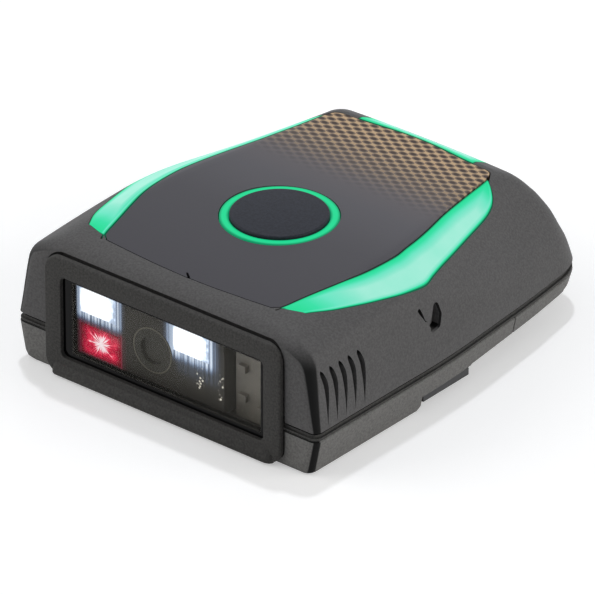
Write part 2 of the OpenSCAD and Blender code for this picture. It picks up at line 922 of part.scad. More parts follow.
beeper_r = 3.8;
beeper_t = 2.2;
beeper_at = [11.2, 6.5, board_top + chip_gap];
beeper_port_r = 0.6;
beeper_floor = 1;

module beeper() {
    color("#1e1e20") translate(beeper_at) difference() {
        cylinder(r = beeper_r, h = beeper_t);
        translate([0, 0, beeper_floor]) cylinder(r = beeper_port_r, h = beeper_t, $fn = small_fn);
    }
}

motor_r = 3;
motor_t = 2;
motor_at = [-10.8, 12.2, board_top + chip_gap];

module vibration_motor() {
    color("#c2c5c9") translate(motor_at) cylinder(r = motor_r, h = motor_t);
}

battery_at = [0, 6.2, 4.05];

module battery_pack() {
    color("#3f5f9a") block([battery_w, battery_l, battery_t], battery_at);
}

contact_size = [1.2, 2.4];
contact_x = [-4, 0, 4];
contact_y = -7.6;

// Spring contacts from the battery up to the main board
module battery_contacts() {
    low = battery_at[2] + battery_t + seat_gap;
    color("#c8a24a") for (x = contact_x) {
        block([contact_size[0], contact_size[1], board_z - seat_gap - low], [x, contact_y, low]);
    }
}

foam = [22, 16];
foam_y = 8;

// Foam pad that holds the battery down
module foam_pad() {
    low = battery_at[2] + battery_t + seat_gap;
    color("#2c2c2e") block([foam[0], foam[1], board_z - seat_gap - low], [0, foam_y, low]);
}

pad = [2.2, 3];
pad_x = [-6, -2, 2, 6];
pad_y = -12.2;
pad_low = 0.25;
contact_board_size = [18, 5.6, 0.8];

// Gold charging pads in the front block
module contact_pads() {
    color("#d4af55") for (x = pad_x) {
        block([pad[0], pad[1], floor_z[0] - pad_low], [x, pad_y, pad_low]);
    }
}

// Board above the charging pads
module contact_board() {
    color("#1d5638") block(contact_board_size, [0, pad_y, floor_z[0] + chip_gap]);
}

plate_half_w = 24.1;
plate_y = [-6.6, 2.5];
plate_z = 1.3;
plate_t = 1;
plate_cut = [12, 4];
latch_screw_x = 19.6;
latch_screw_y = -2;
latch_head_t = 0.45;

// Latch plate: metal plate below the housing that the dock grips
module latch_plate() {
    color("#4a4b4f") difference() {
        block([2 * plate_half_w, plate_y[1] - plate_y[0], plate_t],
            [0, (plate_y[0] + plate_y[1]) / 2, plate_z]);
        block([plate_cut[0], 2 * plate_cut[1], plate_t + 2 * cut], [0, plate_y[1], plate_z - cut]);
        both_sides() {
            translate([latch_screw_x, latch_screw_y, 0]) {
                cylinder(r = board_screw_r + screw_gap, h = plate_z + plate_t + cut, $fn = small_fn);
                cylinder(r = board_head_r + screw_gap, h = plate_z + latch_head_t, $fn = small_fn);
            }
        }
    }
}

latch_screw_l = 1.9;

module latch_screw_holes() {
    both_sides() {
        translate([latch_screw_x, latch_screw_y, 0]) {
            cylinder(r = board_screw_r + screw_gap, h = 2 * seam_low, $fn = small_fn);
        }
    }
}

// A screw with its head down, from the head's lower face up
module screw(r, head_r, head_t, length) {
    cylinder(r = head_r, h = head_t, $fn = small_fn);
    cylinder(r = r, h = length, $fn = small_fn);
}

module latch_screws() {
    color("#9a9da1") both_sides() {
        translate([latch_screw_x, latch_screw_y, plate_z]) {
            screw(board_screw_r, board_head_r, latch_head_t - seat_gap, latch_screw_l);
        }
    }
}

module case_screws() {
    color("#9a9da1") both_sides() {
        for (p = case_screw_at) {
            translate(p) screw(case_screw_r, case_head_r, case_head_t - seat_gap, case_screw_l);
        }
    }
}

module board_screws() {
    color("#9a9da1") both_sides() {
        for (p = board_screw_at) {
            translate([p[0], p[1], board_z - board_head_t - seat_gap]) {
                screw(board_screw_r, board_head_r, board_head_t, board_screw_l);
            }
        }
    }
}

upper_housing();
lower_housing();
battery_door();
seam_gasket();
top_panel();
light_guide_left();
light_guide_right();
light_guide_rear();
light_ring();
scan_button();
button_seal();
button_spring();
tactile_switch();
switch_plunger();
bezel_upper();
bezel_lower();
scan_window();
window_gasket();
engine_chassis();
engine_board();
white_lamp_outer();
white_lamp_inner();
lamp_lens_outer();
lamp_lens_inner();
aiming_lamp();
aiming_lens();
camera_barrel();
camera_lens();
image_sensor();
side_board();
engine_flex();
main_board();
processor();
radio_shield();
antenna();
guide_lamps();
beeper();
vibration_motor();
battery_pack();
battery_contacts();
foam_pad();
contact_board();
contact_pads();
latch_plate();
latch_screws();
case_screws();
board_screws();
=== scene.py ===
import bpy
import numpy as np
from mathutils import Matrix


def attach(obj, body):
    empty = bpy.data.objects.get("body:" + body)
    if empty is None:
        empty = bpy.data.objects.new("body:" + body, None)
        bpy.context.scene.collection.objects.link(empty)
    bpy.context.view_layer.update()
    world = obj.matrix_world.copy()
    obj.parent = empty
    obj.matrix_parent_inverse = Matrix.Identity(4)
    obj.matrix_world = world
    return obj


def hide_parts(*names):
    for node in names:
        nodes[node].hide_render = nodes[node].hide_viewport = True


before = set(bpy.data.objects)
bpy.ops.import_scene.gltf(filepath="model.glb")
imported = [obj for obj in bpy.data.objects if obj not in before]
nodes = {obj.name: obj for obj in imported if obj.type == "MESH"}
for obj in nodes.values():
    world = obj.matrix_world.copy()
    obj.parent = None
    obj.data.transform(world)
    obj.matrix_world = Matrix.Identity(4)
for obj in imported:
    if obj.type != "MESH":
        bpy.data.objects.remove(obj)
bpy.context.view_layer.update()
scene = bpy.context.scene

# Upper housing: one shell of black ABS, injection moulded against a fine spark-eroded mould.
# Its top has a shallow pocket for the panel and the light guides, its sides have slots and a
# small recess, and screws from below pull it down on the lower housing.
mm = 0.001
body_w, body_h = 50.0, 19.6
front_y, rear_y = -28.6, 30.0
wall, ceiling = 1.6, 2.8
seam_low, seam_high = 5.25, 6.45
ring_h = [0, 0.22, 0.38, 0.53, 0.68, 0.75, 0.83, 0.905, 0.95, 0.98, 1]
front_in = [0.2, 0.6, 0.85, 1.1, 1.4, 1.65, 2.3, 3.7, 4.9, 6, 7.4]
middle_in = [0, 0.4, 0.8, 1.05, 1.4, 1.7, 2.6, 4.8, 6, 7.1, 8.1]
knee_in = [1.5, 1.7, 2.7, 4.5, 6.3, 7.2, 8.1, 9, 10, 10.8, 11.7]
rear_in = [3.1, 3.9, 4.75, 5.95, 7.55, 8.35, 9.3, 10.3, 10.8, 11.3, 11.8]
front_back = [0, 0, 0, 0, 0, 0, 0, 0.25, 0.7, 1.3, 2.3]
rear_back = [0, 0.95, 1.8, 2.35, 3.2, 3.8, 4.55, 5.55, 6.6, 7.4, 8.1]
middle_y = [-2, 3, 6, 3, -3, -4.5, -4.8, -5, -5, -5, -6]
knee_y, rear_bow = 16.7, 0.4
front_reach, rear_reach, middle_reach, knee_reach = (1.2, 2.4), (6.3, 1.6), 5.0, 3.0
crest_y, front_fall, rear_fall, rear_ease = -4.0, 0.0022, 0.032, 3.0
cap_y, ring_count, cap_count = -2.0, 61, 15
trim_t, trim_share, pocket_gap = 1.2, 0.6, 0.05
past, cut, hair, ring_fit = 36.0, 1.0, 0.01, 0.1


def join(*parts):
    """Arrays side by side along a new last axis, such as x, y and z."""
    return np.stack(parts, -1)


def smooth(knots, t, tail):
    """Curve through knots numbered 0, 1, 2 and so on: between two knots a cubic whose slope at
    each knot is half the step from the knot before it to the knot after it."""
    k = np.concatenate([[2 * knots[0] - knots[1]], knots, [tail]])
    i = np.clip(np.floor(t).astype(int), 0, len(knots) - 2)
    f = t - i
    a, b, c, d = k[i], k[i + 1], k[i + 2], k[i + 3]
    return b + f / 2 * (c - a) + f**2 * (a - 2.5 * b + 2 * c - d / 2) + f**3 * (1.5 * (b - c) + (d - a) / 2)


def top_z(y):
    """Height of the top: a parabola down to the front, a hyperbola down to the rear."""
    fall = rear_fall * (np.hypot(y - crest_y, rear_ease) - rear_ease)
    return body_h - np.where(y < crest_y, front_fall * (crest_y - y) ** 2, fall)


def bend(a, b, c, reach, count):
    """Rounded corner at b: a quadratic curve from the point reach before b to the one reach after it."""
    p = b + (a - b) * reach / np.linalg.norm(a - b, axis=-1, keepdims=True)
    q = b + (c - b) * reach / np.linalg.norm(c - b, axis=-1, keepdims=True)
    t = np.linspace(0, 1, count)[:, None]
    return (1 - t) ** 2 * p[:, None] + 2 * t * (1 - t) * b[:, None] + t**2 * q[:, None]


def straight(a, b, count):
    """Points of a straight line between a and b, without its ends."""
    t = np.linspace(0, 1, count + 2)[1:-1, None]
    return a[:, None] * (1 - t) + b[:, None] * t


def outline(t, inset=0.0, front=0.0):
    """Closed rings round the body at ring numbers t, drawn in by inset and at the front by front.
    The right half runs from the front middle over three rounded corners to the rear middle."""
    t = np.atleast_1d(t).astype(float)
    h = smooth(ring_h, t, 1.0)[:, None]
    half = body_w / 2 - inset
    fi, mi, ki = smooth(front_in, t, 9.4), smooth(middle_in, t, 9.4), smooth(knee_in, t, 12.8)
    ri, fb, rb = smooth(rear_in, t, 12.5), smooth(front_back, t, 3.8), smooth(rear_back, t, 9.2)
    zero = np.zeros_like(t)
    f0 = join(zero, front_y + fb + front)
    f = join(half - fi, f0[:, 1])
    m = join(half - mi, smooth(middle_y, t, -6))
    n = join(half - ki, zero + knee_y)
    r = join(half - ri, rear_y - rb - rear_bow - inset)
    r0 = join(zero, rear_y - rb - inset)
    reach_f = front_reach[0] + (front_reach[1] - front_reach[0]) * h
    reach_r = rear_reach[0] + (rear_reach[1] - rear_reach[0]) * h
    corners = [bend(f0, f, m, reach_f, 12), bend(f, m, n, middle_reach, 12),
               bend(m, n, r, knee_reach, 10), bend(n, r, r0, reach_r, 16)]
    u = np.linspace(0, 1, 12)[1:-1]
    end = corners[3][:, -1]
    tail_x = end[:, :1] * (1 - u)
    tail_y = r0[:, 1:] + (end[:, 1:] - r0[:, 1:]) * (1 - u) ** 2
    right = np.concatenate([
        f0[:, None], straight(f0, corners[0][:, 0], 10), corners[0],
        straight(corners[0][:, -1], corners[1][:, 0], 14), corners[1],
        straight(corners[1][:, -1], corners[2][:, 0], 14), corners[2],
        straight(corners[2][:, -1], corners[3][:, 0], 6), corners[3],
        join(tail_x, tail_y), r0[:, None]], 1)
    return np.concatenate([right, right[:, -2:0:-1] * [-1, 1]], 1)


def solid(points, faces):
    """A new object from points in millimetres and faces. It is named when it is dressed."""
    mesh = bpy.data.meshes.new("solid")
    mesh.from_pydata((np.asarray(points) * mm).tolist(), [], faces)
    piece = bpy.data.objects.new("solid", mesh)
    scene.collection.objects.link(piece)
    return piece


def quads(m, n, on_itself=False):
    """Faces between m rings of n points: from each ring to the next, and where the rows close on
    themselves also from the last ring to the first."""
    i, j = np.meshgrid(np.arange(m if on_itself else m - 1), np.arange(n), indexing="ij")
    a, b = i * n + j, i * n + (j + 1) % n
    c, d = (i + 1) % m * n + (j + 1) % n, (i + 1) % m * n + j
    return join(a, b, c, d).reshape(-1, 4).tolist()


def stack(rows, tip=None):
    """Closed solid from rings stacked upwards, in millimetres: quads from ring to ring, one face
    below, and above one face or triangles to a tip."""
    m, n = rows.shape[:2]
    faces = quads(m, n)
    faces.append(list(range(n))[::-1])
    points = rows.reshape(-1, 3)
    top = (m - 1) * n + np.arange(n)
    if tip is None:
        faces.append(top.tolist())
    else:
        points = np.concatenate([points, [tip]])
        faces += join(top, np.roll(top, -1), np.full(n, m * n)).tolist()
    return solid(points, faces)


def shell(inset=0.0, drop=0.0, base=seam_high):
    """The upper body as a solid: ring k stands at base plus its share of the way to the top, and the
    last ring shrinks towards the middle along the top."""
    t = np.linspace(0, len(ring_h) - 1, ring_count)
    ring = outline(t, inset, inset)
    h = smooth(ring_h, t, 1.0)[:, None]
    high = top_z(ring[..., 1]) - drop
    walls = np.concatenate([ring, (base + (high - base) * h)[..., None]], -1)
    share = np.linspace(1, 0, cap_count)[1:-1, None]
    x = ring[-1, :, 0] * share
    y = cap_y + (ring[-1, :, 1] - cap_y) * share
    cap = join(x, y, top_z(y) - drop)
    return stack(np.concatenate([walls, cap]), [0, cap_y, top_z(cap_y) - drop])


def prism(corners, low, high, axis="z"):
    """A flat outline drawn out along an axis from low to high. The outline runs counter-clockwise."""
    corners = np.asarray(corners, float)
    ends = [np.insert(corners, "xyz".index(axis), level, axis=1) for level in (low, high)]
    return stack(np.stack(ends[::-1] if axis == "y" else ends))


def circle(x, y, r, count=64):
    """Points of a circle."""
    a = np.arange(count) * 2 * np.pi / count
    return join(x + r * np.cos(a), y + r * np.sin(a))


def box(x0, x1, y0, y1):
    """Corners of an upright rectangle."""
    return [[x0, y0], [x1, y0], [x1, y1], [x0, y1]]


def mirrored(points):
    """The same points on the left side, still counter-clockwise."""
    return (np.asarray(points, float) * [-1, 1])[::-1]


def carve(piece, tool, how="DIFFERENCE"):
    """Cuts the tool away from a piece, or joins or overlaps the two, and throws the tool away."""
    made = piece.modifiers.new("carve", "BOOLEAN")
    made.operation, made.solver, made.object = how, "MANIFOLD", tool
    bpy.context.view_layer.update()
    graph = bpy.context.evaluated_depsgraph_get()
    result = bpy.data.meshes.new_from_object(piece.evaluated_get(graph))
    piece.modifiers.clear()
    piece.data = result
    bpy.data.objects.remove(tool)
    return piece


def linear(colour, alpha=1.0):
    """Linear red, green and blue, and alpha, of an sRGB hex colour."""
    s = np.array([int(colour[i:i + 2], 16) for i in (1, 3, 5)]) / 255
    return (*np.where(s <= 0.04045, s / 12.92, ((s + 0.055) / 1.055) ** 2.4).tolist(), alpha)


def add(tree, kind, *values, out=None, to=None, stops=(), **settings):
    """Adds one node and gives its first output in use, or the one named out. A kind may end in its
    operation, and settings are its attributes. Values go to the inputs in use, in order: a number, a
    colour in hex or an output to link. Stops are places and colours on a ramp. The output also goes
    to the shader's input named to."""
    kind, operation = (kind + ".").split(".")[:2]
    made = tree.nodes.new("ShaderNode" + kind)
    if operation:
        made.operation = operation
    if kind == "Mix":
        made.data_type = "RGBA"
    for key, value in settings.items():
        setattr(made, key, value)
    for socket, value in zip([s for s in made.inputs if s.enabled], values):
        if isinstance(value, bpy.types.NodeSocket):
            tree.links.new(value, socket)
        elif value is not None:
            socket.default_value = linear(value) if isinstance(value, str) else value
    if stops:
        ramp = made.color_ramp.elements
        ramp[0].color, ramp[1].color = linear(stops[0][1]), linear(stops[-1][1])
        for stop, colour in stops[1:-1]:
            ramp.new(stop).color = linear(colour)
    result = made.outputs[out] if out else next(s for s in made.outputs if s.enabled)
    if to:
        tree.links.new(result, tree.nodes["Principled BSDF"].inputs[to])
    return result


def start(name, **settings):
    """A new material, with its shader's even values set, its node tree and its object coordinates."""
    material = bpy.data.materials.new(name)
    material.use_nodes = True
    tree = material.node_tree
    for key, value in settings.items():
        socket = tree.nodes["Principled BSDF"].inputs[key.replace("_", " ")]
        socket.default_value = linear(value) if isinstance(value, str) else value
    return material, tree, add(tree, "TexCoord", out="Object")


def grain(tree, place, size, depth, rough, spread):
    """Moulding texture: noise of a grain size in mm lifts the surface by depth in mm, and makes the
    roughness swing by spread about its middle."""
    noise = add(tree, "TexNoise", place, 1000 / size, 3.0, 0.6)
    add(tree, "Bump", 1.0, depth * mm, None, noise, to="Normal")
    add(tree, "MapRange", noise, 0.0, 1.0, rough - spread, rough + spread, to="Roughness")
    return noise


def speckle(tree, place, dark, light, to=None):
    """Two near tones in salt and pepper, in grains of 0.3 mm."""
    noise = add(tree, "TexNoise", place, 1000 / 0.3, 2.0, 0.7)
    return add(tree, "Mix", add(tree, "MapRange", noise, 0.36, 0.64), dark, light, to=to)


sharp_from = np.radians(28)


def dress(piece, name, material, slot, *stands_for, body="body"):
    """Finishes a piece: its name, smooth faces with sharp edges, its material, its body and the CAD
    nodes it stands for. The slot is not used."""
    piece.name = name
    piece.data.materials.clear()
    piece.data.materials.append(material)
    piece.data.shade_smooth()
    piece.data.set_sharp_from_angle(angle=sharp_from)
    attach(piece, body)
    if stands_for:
        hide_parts(*stands_for)
    return piece


station_y = [-23.3, -22.4, -19.3, -15.3, -11.8, -8.5, -4.8, -2.2, 0.7, 3.7, 8, 12.7, 15.1, 16.8, 18.1, 19]
inner_x = [14.5, 14.8, 15.55, 16.6, 17.4, 17.75, 17.8, 17.45,
           17, 16.4, 15.4, 14.55, 14.15, 13.9, 13.7, 13.55]
outer_x = [15, 18, 19.65, 20.95, 21.9, 22.6, 22.75, 22.15,
           21.35, 20.55, 19.35, 18.05, 17.25, 16.4, 15.15, 13.95]
inner_tail, outer_tail, tail_step = 13.4, 13, 1.5
panel_front = [[0.2, -24.8], [5, -24.65], [9.7, -24.33], [13.6, -24], [14.5, -23.3]]
panel_corner = [[13.2, 20.2], [12.8, 20.75], [12, 21]]
bow_half, bow_y, bow_out = 11.0, 21.1, 0.85
strip_half, strip_y = 9.6, 24.2
button_y, ring_r, ring_bore_r = -6.1, 7.7, 6.5


def station_curve(values, t, tail):
    """Value at station number t: straight from the first station to the second, where the guides are
    cut off, and a smooth curve from there on."""
    return np.where(t < 1, np.interp(t, [0, 1], values[:2]), smooth(values[1:], np.maximum(t - 1, 0), tail))


knot = np.linspace(0, len(station_y) - 1, 76)
line_y = station_curve(station_y, knot, station_y[-1] + tail_step)
inner_line = join(station_curve(inner_x, knot, inner_tail), line_y)
outer_line = join(station_curve(outer_x, knot, outer_tail), line_y)
bow_x = np.linspace(bow_half, 0, 24)
bow = join(bow_x, bow_y + bow_out * (1 + np.cos(np.pi * bow_x / bow_half)) / 2)


def closed(right):
    """Counter-clockwise outline from its right half, which runs from the front to the rear."""
    right = np.asarray(right, float)
    return np.concatenate([right, mirrored(right[right[:, 0] > 0])])


pocket_line = np.concatenate([panel_front, outer_line, panel_corner,
                              [[strip_half, bow_y], [strip_half, strip_y]]])
upper = shell()
cavity = shell(wall, ceiling, seam_high - cut / 2)
carve(upper, cavity)
pocket = prism(closed(pocket_line), 0, body_h + cut)
carve(pocket, shell((trim_t + pocket_gap) * trim_share, trim_t + pocket_gap))
carve(upper, pocket)
carve(upper, prism(circle(0, button_y, ring_r + ring_fit), seam_high, body_h + cut))


def rounded(half_w, low, high, r, count=10):
    """Rounded rectangle seen from the front, counter-clockwise: four quarter circles."""
    a = np.linspace(0, np.pi / 2, count)
    x, z = half_w - r, high - r
    quarters = [join(cx + r * np.cos(a + turn), cz + r * np.sin(a + turn)) for cx, cz, turn in
                [(x, low + r, -np.pi / 2), (x, z, 0), (-x, z, np.pi / 2), (-x, low + r, np.pi)]]
    return np.concatenate(quarters)


front_open = (17.6, 2.15, 15.35, 1.2)
carve(upper, prism(rounded(*front_open), front_y - cut, front_y + wall + cut / 2, "y"))


def wall_x(z):
    """Half width of the upper wall at a height, at the widest point."""
    return body_w / 2 - np.interp((z - seam_high) / (body_h - seam_high), ring_h, middle_in)


slot_y, slot_pitch, slot_depth, slot_count = -26.25, 1.78, 1.55, 5
slot_z, slot_w, slot_arch = (6.6, 14.4), 0.85, [-0.25, 0.42, 0.5, 0.28, 0]
recess_at = np.array([[-3.95, 13.95, 0.34], [-3.6, 12.6, 0.42], [-3.95, 11.5, 0.42], [-4.95, 11.15, 0.26]])
slash_at = np.array([[-7.15, 14.6, 0.26], [-6.1, 12.75, 0.1]])
facet_at = np.array([[-6.8, 14.2, -0.03], [-5.1, 11.1, 0.5], [-4.1, 11.9, 0.62], [-4.2, 14.2, -0.03]])
recess_depth, recess_edge, slash_depth, outside = 1.3, 0.22, 0.7, -3


def slot_line(y):
    """Outline of a slot like a claw, with s from 0 at the top to 1 at the foot: its middle line
    arches backwards, and its width is w s^0.5 (1 - s)^1.5, scaled to its largest."""
    s = np.linspace(0, 1, 24)
    p, q = 0.5, 1.5
    peak = p**p * q**q / (p + q) ** (p + q)
    half = slot_w / 2 * s**p * (1 - s) ** q / peak
    middle = y + smooth(slot_arch, s * (len(slot_arch) - 1), -0.3)
    z = slot_z[1] + (slot_z[0] - slot_z[1]) * s
    rear, front = join(middle + half, z), join(middle - half, z)
    return np.concatenate([rear[::-1], front[1:-1]])


def around(circles, count=48):
    """Outline of the band stretched round some circles: in each direction the circle that reaches
    furthest."""
    turn = np.arange(count) * 2 * np.pi / count
    ray = join(np.cos(turn), np.sin(turn))
    which = (circles[:, :2] @ ray.T + circles[:, 2:]).argmax(0)
    return circles[which, :2] + ray * circles[which, 2:]


def wall_cut(rows, side):
    """A cutter through the side wall: each row is an outline of y, z and depth below the wall, and
    the rows go from the deepest to the one outside."""
    y, z, deep = np.moveaxis(np.array(rows, float), -1, 0)
    rows = join(wall_x(z) - deep, y, z)
    return stack(rows if side > 0 else (rows * [-1, 1, 1])[:, ::-1])


def at_depth(line, *depths):
    """The same outline at some depths."""
    return [np.insert(line, 2, deep, axis=1) for deep in depths]


deep_rows = at_depth(around(recess_at), recess_depth, recess_edge * 1.2)
wide_rows = at_depth(around(recess_at + [0, 0, recess_edge]), -0.06, outside)
side_cuts = [at_depth(slot_line(slot_y + i * slot_pitch), slot_depth, outside) for i in range(slot_count)]
side_cuts += [deep_rows + wide_rows, at_depth(around(slash_at), slash_depth, outside),
              [facet_at, np.insert(facet_at[:, :2], 2, outside, axis=1)]]
for rows in side_cuts:
    for side in (-1, 1):
        carve(upper, wall_cut(rows, side))

bezel_half, bezel_low, bezel_high, bezel_r = 19.45, 0.15, 17.25, 2.3
groove, groove_depth, groove_foot = 0.2, 1.3, 1.35


def bezel_groove():
    """A shadow gap in the front wall round the sides and the top of the bezel, closed at its foot."""
    line = rounded(bezel_half + groove, bezel_low, bezel_high + groove, bezel_r + groove, 14)
    gap = prism(line, front_y - cut, front_y + groove_depth, "y")
    return carve(gap, prism(box(-past, past, -past, 0), -cut, groove_foot))


carve(upper, bezel_groove())


def housing_plastic(name, dark, light):
    """Black ABS, spark eroded: a dark grey, nearly matt, with a fine salt and pepper grain. The
    rounded front corners get a black band painted in as shade and a dark reflection: where the
    surface turns from the side to the front, far from the middle and below the shoulder."""
    material, tree, place = start(name, Specular_IOR_Level=0.12)
    grain(tree, place, 0.25, 0.02, 0.55, 0.08)
    cloth = speckle(tree, place, dark, light)
    # Painted shade and dark reflection: a mask on the rounded front corners, black in the base colour.
    axes = add(tree, "SeparateXYZ", place).node.outputs
    facing = add(tree, "SeparateXYZ", add(tree, "TexCoord", out="Normal"), out="Y")
    forward = add(tree, "Math.MULTIPLY", facing, -1.0)
    outwards = add(tree, "Math.ABSOLUTE", axes["X"])
    band = None
    for source, *ramp in ((forward, 0.1, 0.24), (forward, 0.86, 0.95, 1.0, 0.0), (outwards, 11 * mm, 22 * mm),
                          (axes["Z"], 14.5 * mm, 18.5 * mm, 1.0, 0.0)):
        share = add(tree, "MapRange", source, *ramp, interpolation_type="SMOOTHSTEP")
        band = share if band is None else add(tree, "Math.MULTIPLY", band, share)
    add(tree, "Mix", band, cloth, "#020202", to="Base Color")
    return material


upper_plastic = housing_plastic("ABS_black_spark_eroded", "#504f4f", "#5d5c5c")
dress(upper, "upper_housing_shell", upper_plastic, "housing_plastic", "upper_housing")

# Top panel: a printed polycarbonate sheet bonded flush into the pocket. It is satin, dark slate
# towards the window, and printed towards the rear with a gold and black mesh that fades out.
trim_in = 0.12
panel_line = np.concatenate([np.array(panel_front) + [-trim_in, trim_in],
                             inner_line[1:] - [trim_in, 0], np.array(panel_corner) - [trim_in, trim_in],
                             bow - [0, trim_in]])
layer = shell()
carve(layer, shell(trim_t * trim_share, trim_t))
panel = prism(closed(panel_line), 0, body_h + cut)
carve(panel, layer, "INTERSECT")
carve(panel, prism(circle(0, button_y, ring_r + trim_in), 0, body_h + cut))
notches = [[[-0.2, -23.95, 0.15], [0.65, -24.6, 0.17]], [[-14.75, -23.25, 0.12], [-14.4, -24.0, 0.14]],
           [[14.75, -23.25, 0.12], [14.4, -24.0, 0.14]]]
for notch in notches:
    for piece in (panel, upper):
        carve(piece, prism(around(np.array(notch)), body_h - 2 * cut, body_h + cut))

mesh_pitch, mesh_row = 2.19, 0.695
fade_front, fade_rear = 5.5, 20.0
ground_at = ((-24.8, "#454449"), (-8, "#4b4a4f"), (2, "#56555a"), (8, "#615d60"), (13, "#71665e"),
             (21, "#88735f"))


def printed_mesh():
    """Film printed with dark lozenges in rows, each row half a pitch on from the last, joined by thin
    gold lines, on a ground that fades from gold at the rear through warm grey to slate. The pattern
    is the larger of |sin u sin v| and |cos u cos v|: high in a lozenge, lowest on a line."""
    material, tree, place = start("polycarbonate_film_printed", Roughness=0.45, Specular_IOR_Level=0.15)
    axes = add(tree, "SeparateXYZ", place).node.outputs
    u = add(tree, "Math.MULTIPLY", axes["X"], 1000 * np.pi / mesh_pitch)
    v = add(tree, "Math.MULTIPLY", axes["Y"], 1000 * np.pi / (2 * mesh_row))
    waves = []
    for wave in ("SINE", "COSINE"):
        both = add(tree, "Math.MULTIPLY", *(add(tree, "Math." + wave, way) for way in (u, v)))
        waves.append(add(tree, "Math.ABSOLUTE", both))
    spot = add(tree, "Math.MAXIMUM", *waves)
    lozenge = add(tree, "MapRange", spot, 0.7, 0.88)
    thread = add(tree, "MapRange", spot, 0.5, 0.57, 1.0, 0.0)
    fade = add(tree, "MapRange", axes["Y"], fade_front * mm, fade_rear * mm, interpolation_type="SMOOTHSTEP")
    first, last = ground_at[0][0], ground_at[-1][0]
    stops = [((y - first) / (last - first), colour) for y, colour in ground_at]
    ground = add(tree, "ValToRGB", add(tree, "MapRange", axes["Y"], first * mm, last * mm), stops=stops)
    share = add(tree, "Math.MULTIPLY", thread, fade)
    gold = add(tree, "Mix", share, ground, "#c8ab86")
    share = add(tree, "Math.MULTIPLY", lozenge, add(tree, "Math.SQRT", fade))
    add(tree, "Mix", share, gold, "#3a2e2b", to="Base Color")
    add(tree, "Bump", 1.0, 0.008 * mm, None, add(tree, "TexNoise", place, 1000 / 0.25, 2.0), to="Normal")
    return material


dress(panel, "top_panel_sheet", printed_mesh(), "printed_panel", "top_panel")

# Light guides: frosted acrylic in a clear green, moulded and pressed flush into the pocket beside
# and behind the panel. The board's green lamps shine up into them, so that they glow.
guide_in = 0.1


def lit_guide(name):
    """Lit acrylic: an attribute named core, 0 at the guide's rim and 1 well inside it, runs from a
    dark green rim, painted shade of the gap round the guide, over saturated green to pale mint, and
    a soft noise keeps the glow uneven."""
    material, tree, place = start(name, Roughness=0.5, Base_Color="#053a26", Specular_IOR_Level=0.1,
                                  Emission_Strength=0.9)
    core = add(tree, "Attribute", out="Fac", attribute_name="core")
    cloud = add(tree, "TexNoise", place, 260.0, 3.0)
    soft = add(tree, "Math.MULTIPLY_ADD", cloud, 0.3, 0.85)
    stops = ((0, "#056246"), (0.06, "#07a06c"), (0.13, "#10de94"), (0.3, "#34e4aa"), (0.5, "#6ceac8"),
             (0.75, "#8cecd2"), (1, "#aaf2df"))
    add(tree, "ValToRGB", add(tree, "Math.MULTIPLY", core, soft), stops=stops, to="Emission Color")
    return material


def surface_z(x, y):
    """Height of the shell above a place: at that y each ring has a half width, and the height runs
    from ring to ring as the half widths shrink to x."""
    t = np.linspace(0, len(ring_h) - 1, 241)
    ring = outline(t)
    half = ring[:, :ring.shape[1] // 2 + 1]
    h = smooth(ring_h, t, 1.0)
    flat_x, flat_y = np.abs(x.ravel()), y.ravel()
    widths = np.array([np.interp(flat_y, row[:, 1], row[:, 0]) for row in half])
    widths[half[:, -1, 1][:, None] < flat_y] = 0
    share = np.array([np.interp(-px, -column, h) for px, column in zip(flat_x, widths.T)])
    return (seam_high + (top_z(flat_y) - seam_high) * share).reshape(x.shape)


def with_core(piece, core):
    """Gives each point of a piece its core value."""
    values = piece.data.attributes.new("core", "FLOAT", "POINT")
    values.data.foreach_set("value", core.astype(np.float32))
    return piece


def lens(x, y, core):
    """A slab with a grid as its top, the same grid lowered by the trim's thickness as its bottom, and
    a wall round it. Each point carries its core value."""
    m, n = x.shape
    top = join(x, y, surface_z(x, y)).reshape(-1, 3)
    points = np.concatenate([top, top - [0, 0, trim_t]])
    i, j = np.meshgrid(np.arange(m - 1), np.arange(n - 1), indexing="ij")
    a = i * n + j
    upside = join(a, a + 1, a + n + 1, a + n).reshape(-1, 4)
    lowside = upside[:, ::-1] + m * n
    rim = np.concatenate([np.arange(n), np.arange(1, m) * n + n - 1, (m - 1) * n + np.arange(n - 2, -1, -1),
                          np.arange(m - 2, 0, -1) * n])
    after = np.roll(rim, -1)
    wall_faces = join(rim, rim + m * n, after + m * n, after)
    piece = solid(points, np.concatenate([upside, lowside, wall_faces]).tolist())
    return with_core(piece, np.tile(core.ravel(), 2))


def core_of(rim, deep):
    """The core value from the distance in mm to the rim, dark for the first 0.18 mm as painted shade
    of the gap round the guide, and a depth from 0 to 1 that takes it on to the pale middle."""
    return 0.12 * np.clip(rim / 0.18, 0, 1) + 0.84 * np.clip(deep, 0, 1) ** 1.3 * np.clip(rim / 0.3, 0, 1)


glow_green = lit_guide("acrylic_green_lit")
along = np.linspace(0, len(station_y) - 1, 151)
guide_y = station_curve(station_y, along, station_y[-1] + 1)
guide_a = station_curve(inner_x, along, inner_tail) + guide_in
guide_b = np.maximum(station_curve(outer_x, along, outer_tail) - guide_in, guide_a + 0.02)
across = (1 - np.cos(np.linspace(0, np.pi, 37))) / 2
grid_x = guide_a[:, None] + (guide_b - guide_a)[:, None] * across
grid_y = np.repeat(guide_y[:, None], len(across), 1)
from_inner, to_outer = grid_x - guide_a[:, None], guide_b[:, None] - grid_x
from_front, to_rear = grid_y - guide_y[0], guide_y[-1] - grid_y
rim = np.minimum(np.minimum(from_inner, to_outer), np.minimum(from_front, to_rear) * 0.5)
ends = np.minimum(from_front / 10, to_rear / 6)
right_core = core_of(rim, np.minimum(np.minimum(from_inner / 2.0, to_outer / 0.6), ends))
# Painted highlight: a thin pale line just inside the outer edge of the right guide.
right_core += 0.14 * np.exp(-((to_outer - 0.35) / 0.14) ** 2) * (rim > 0.1)
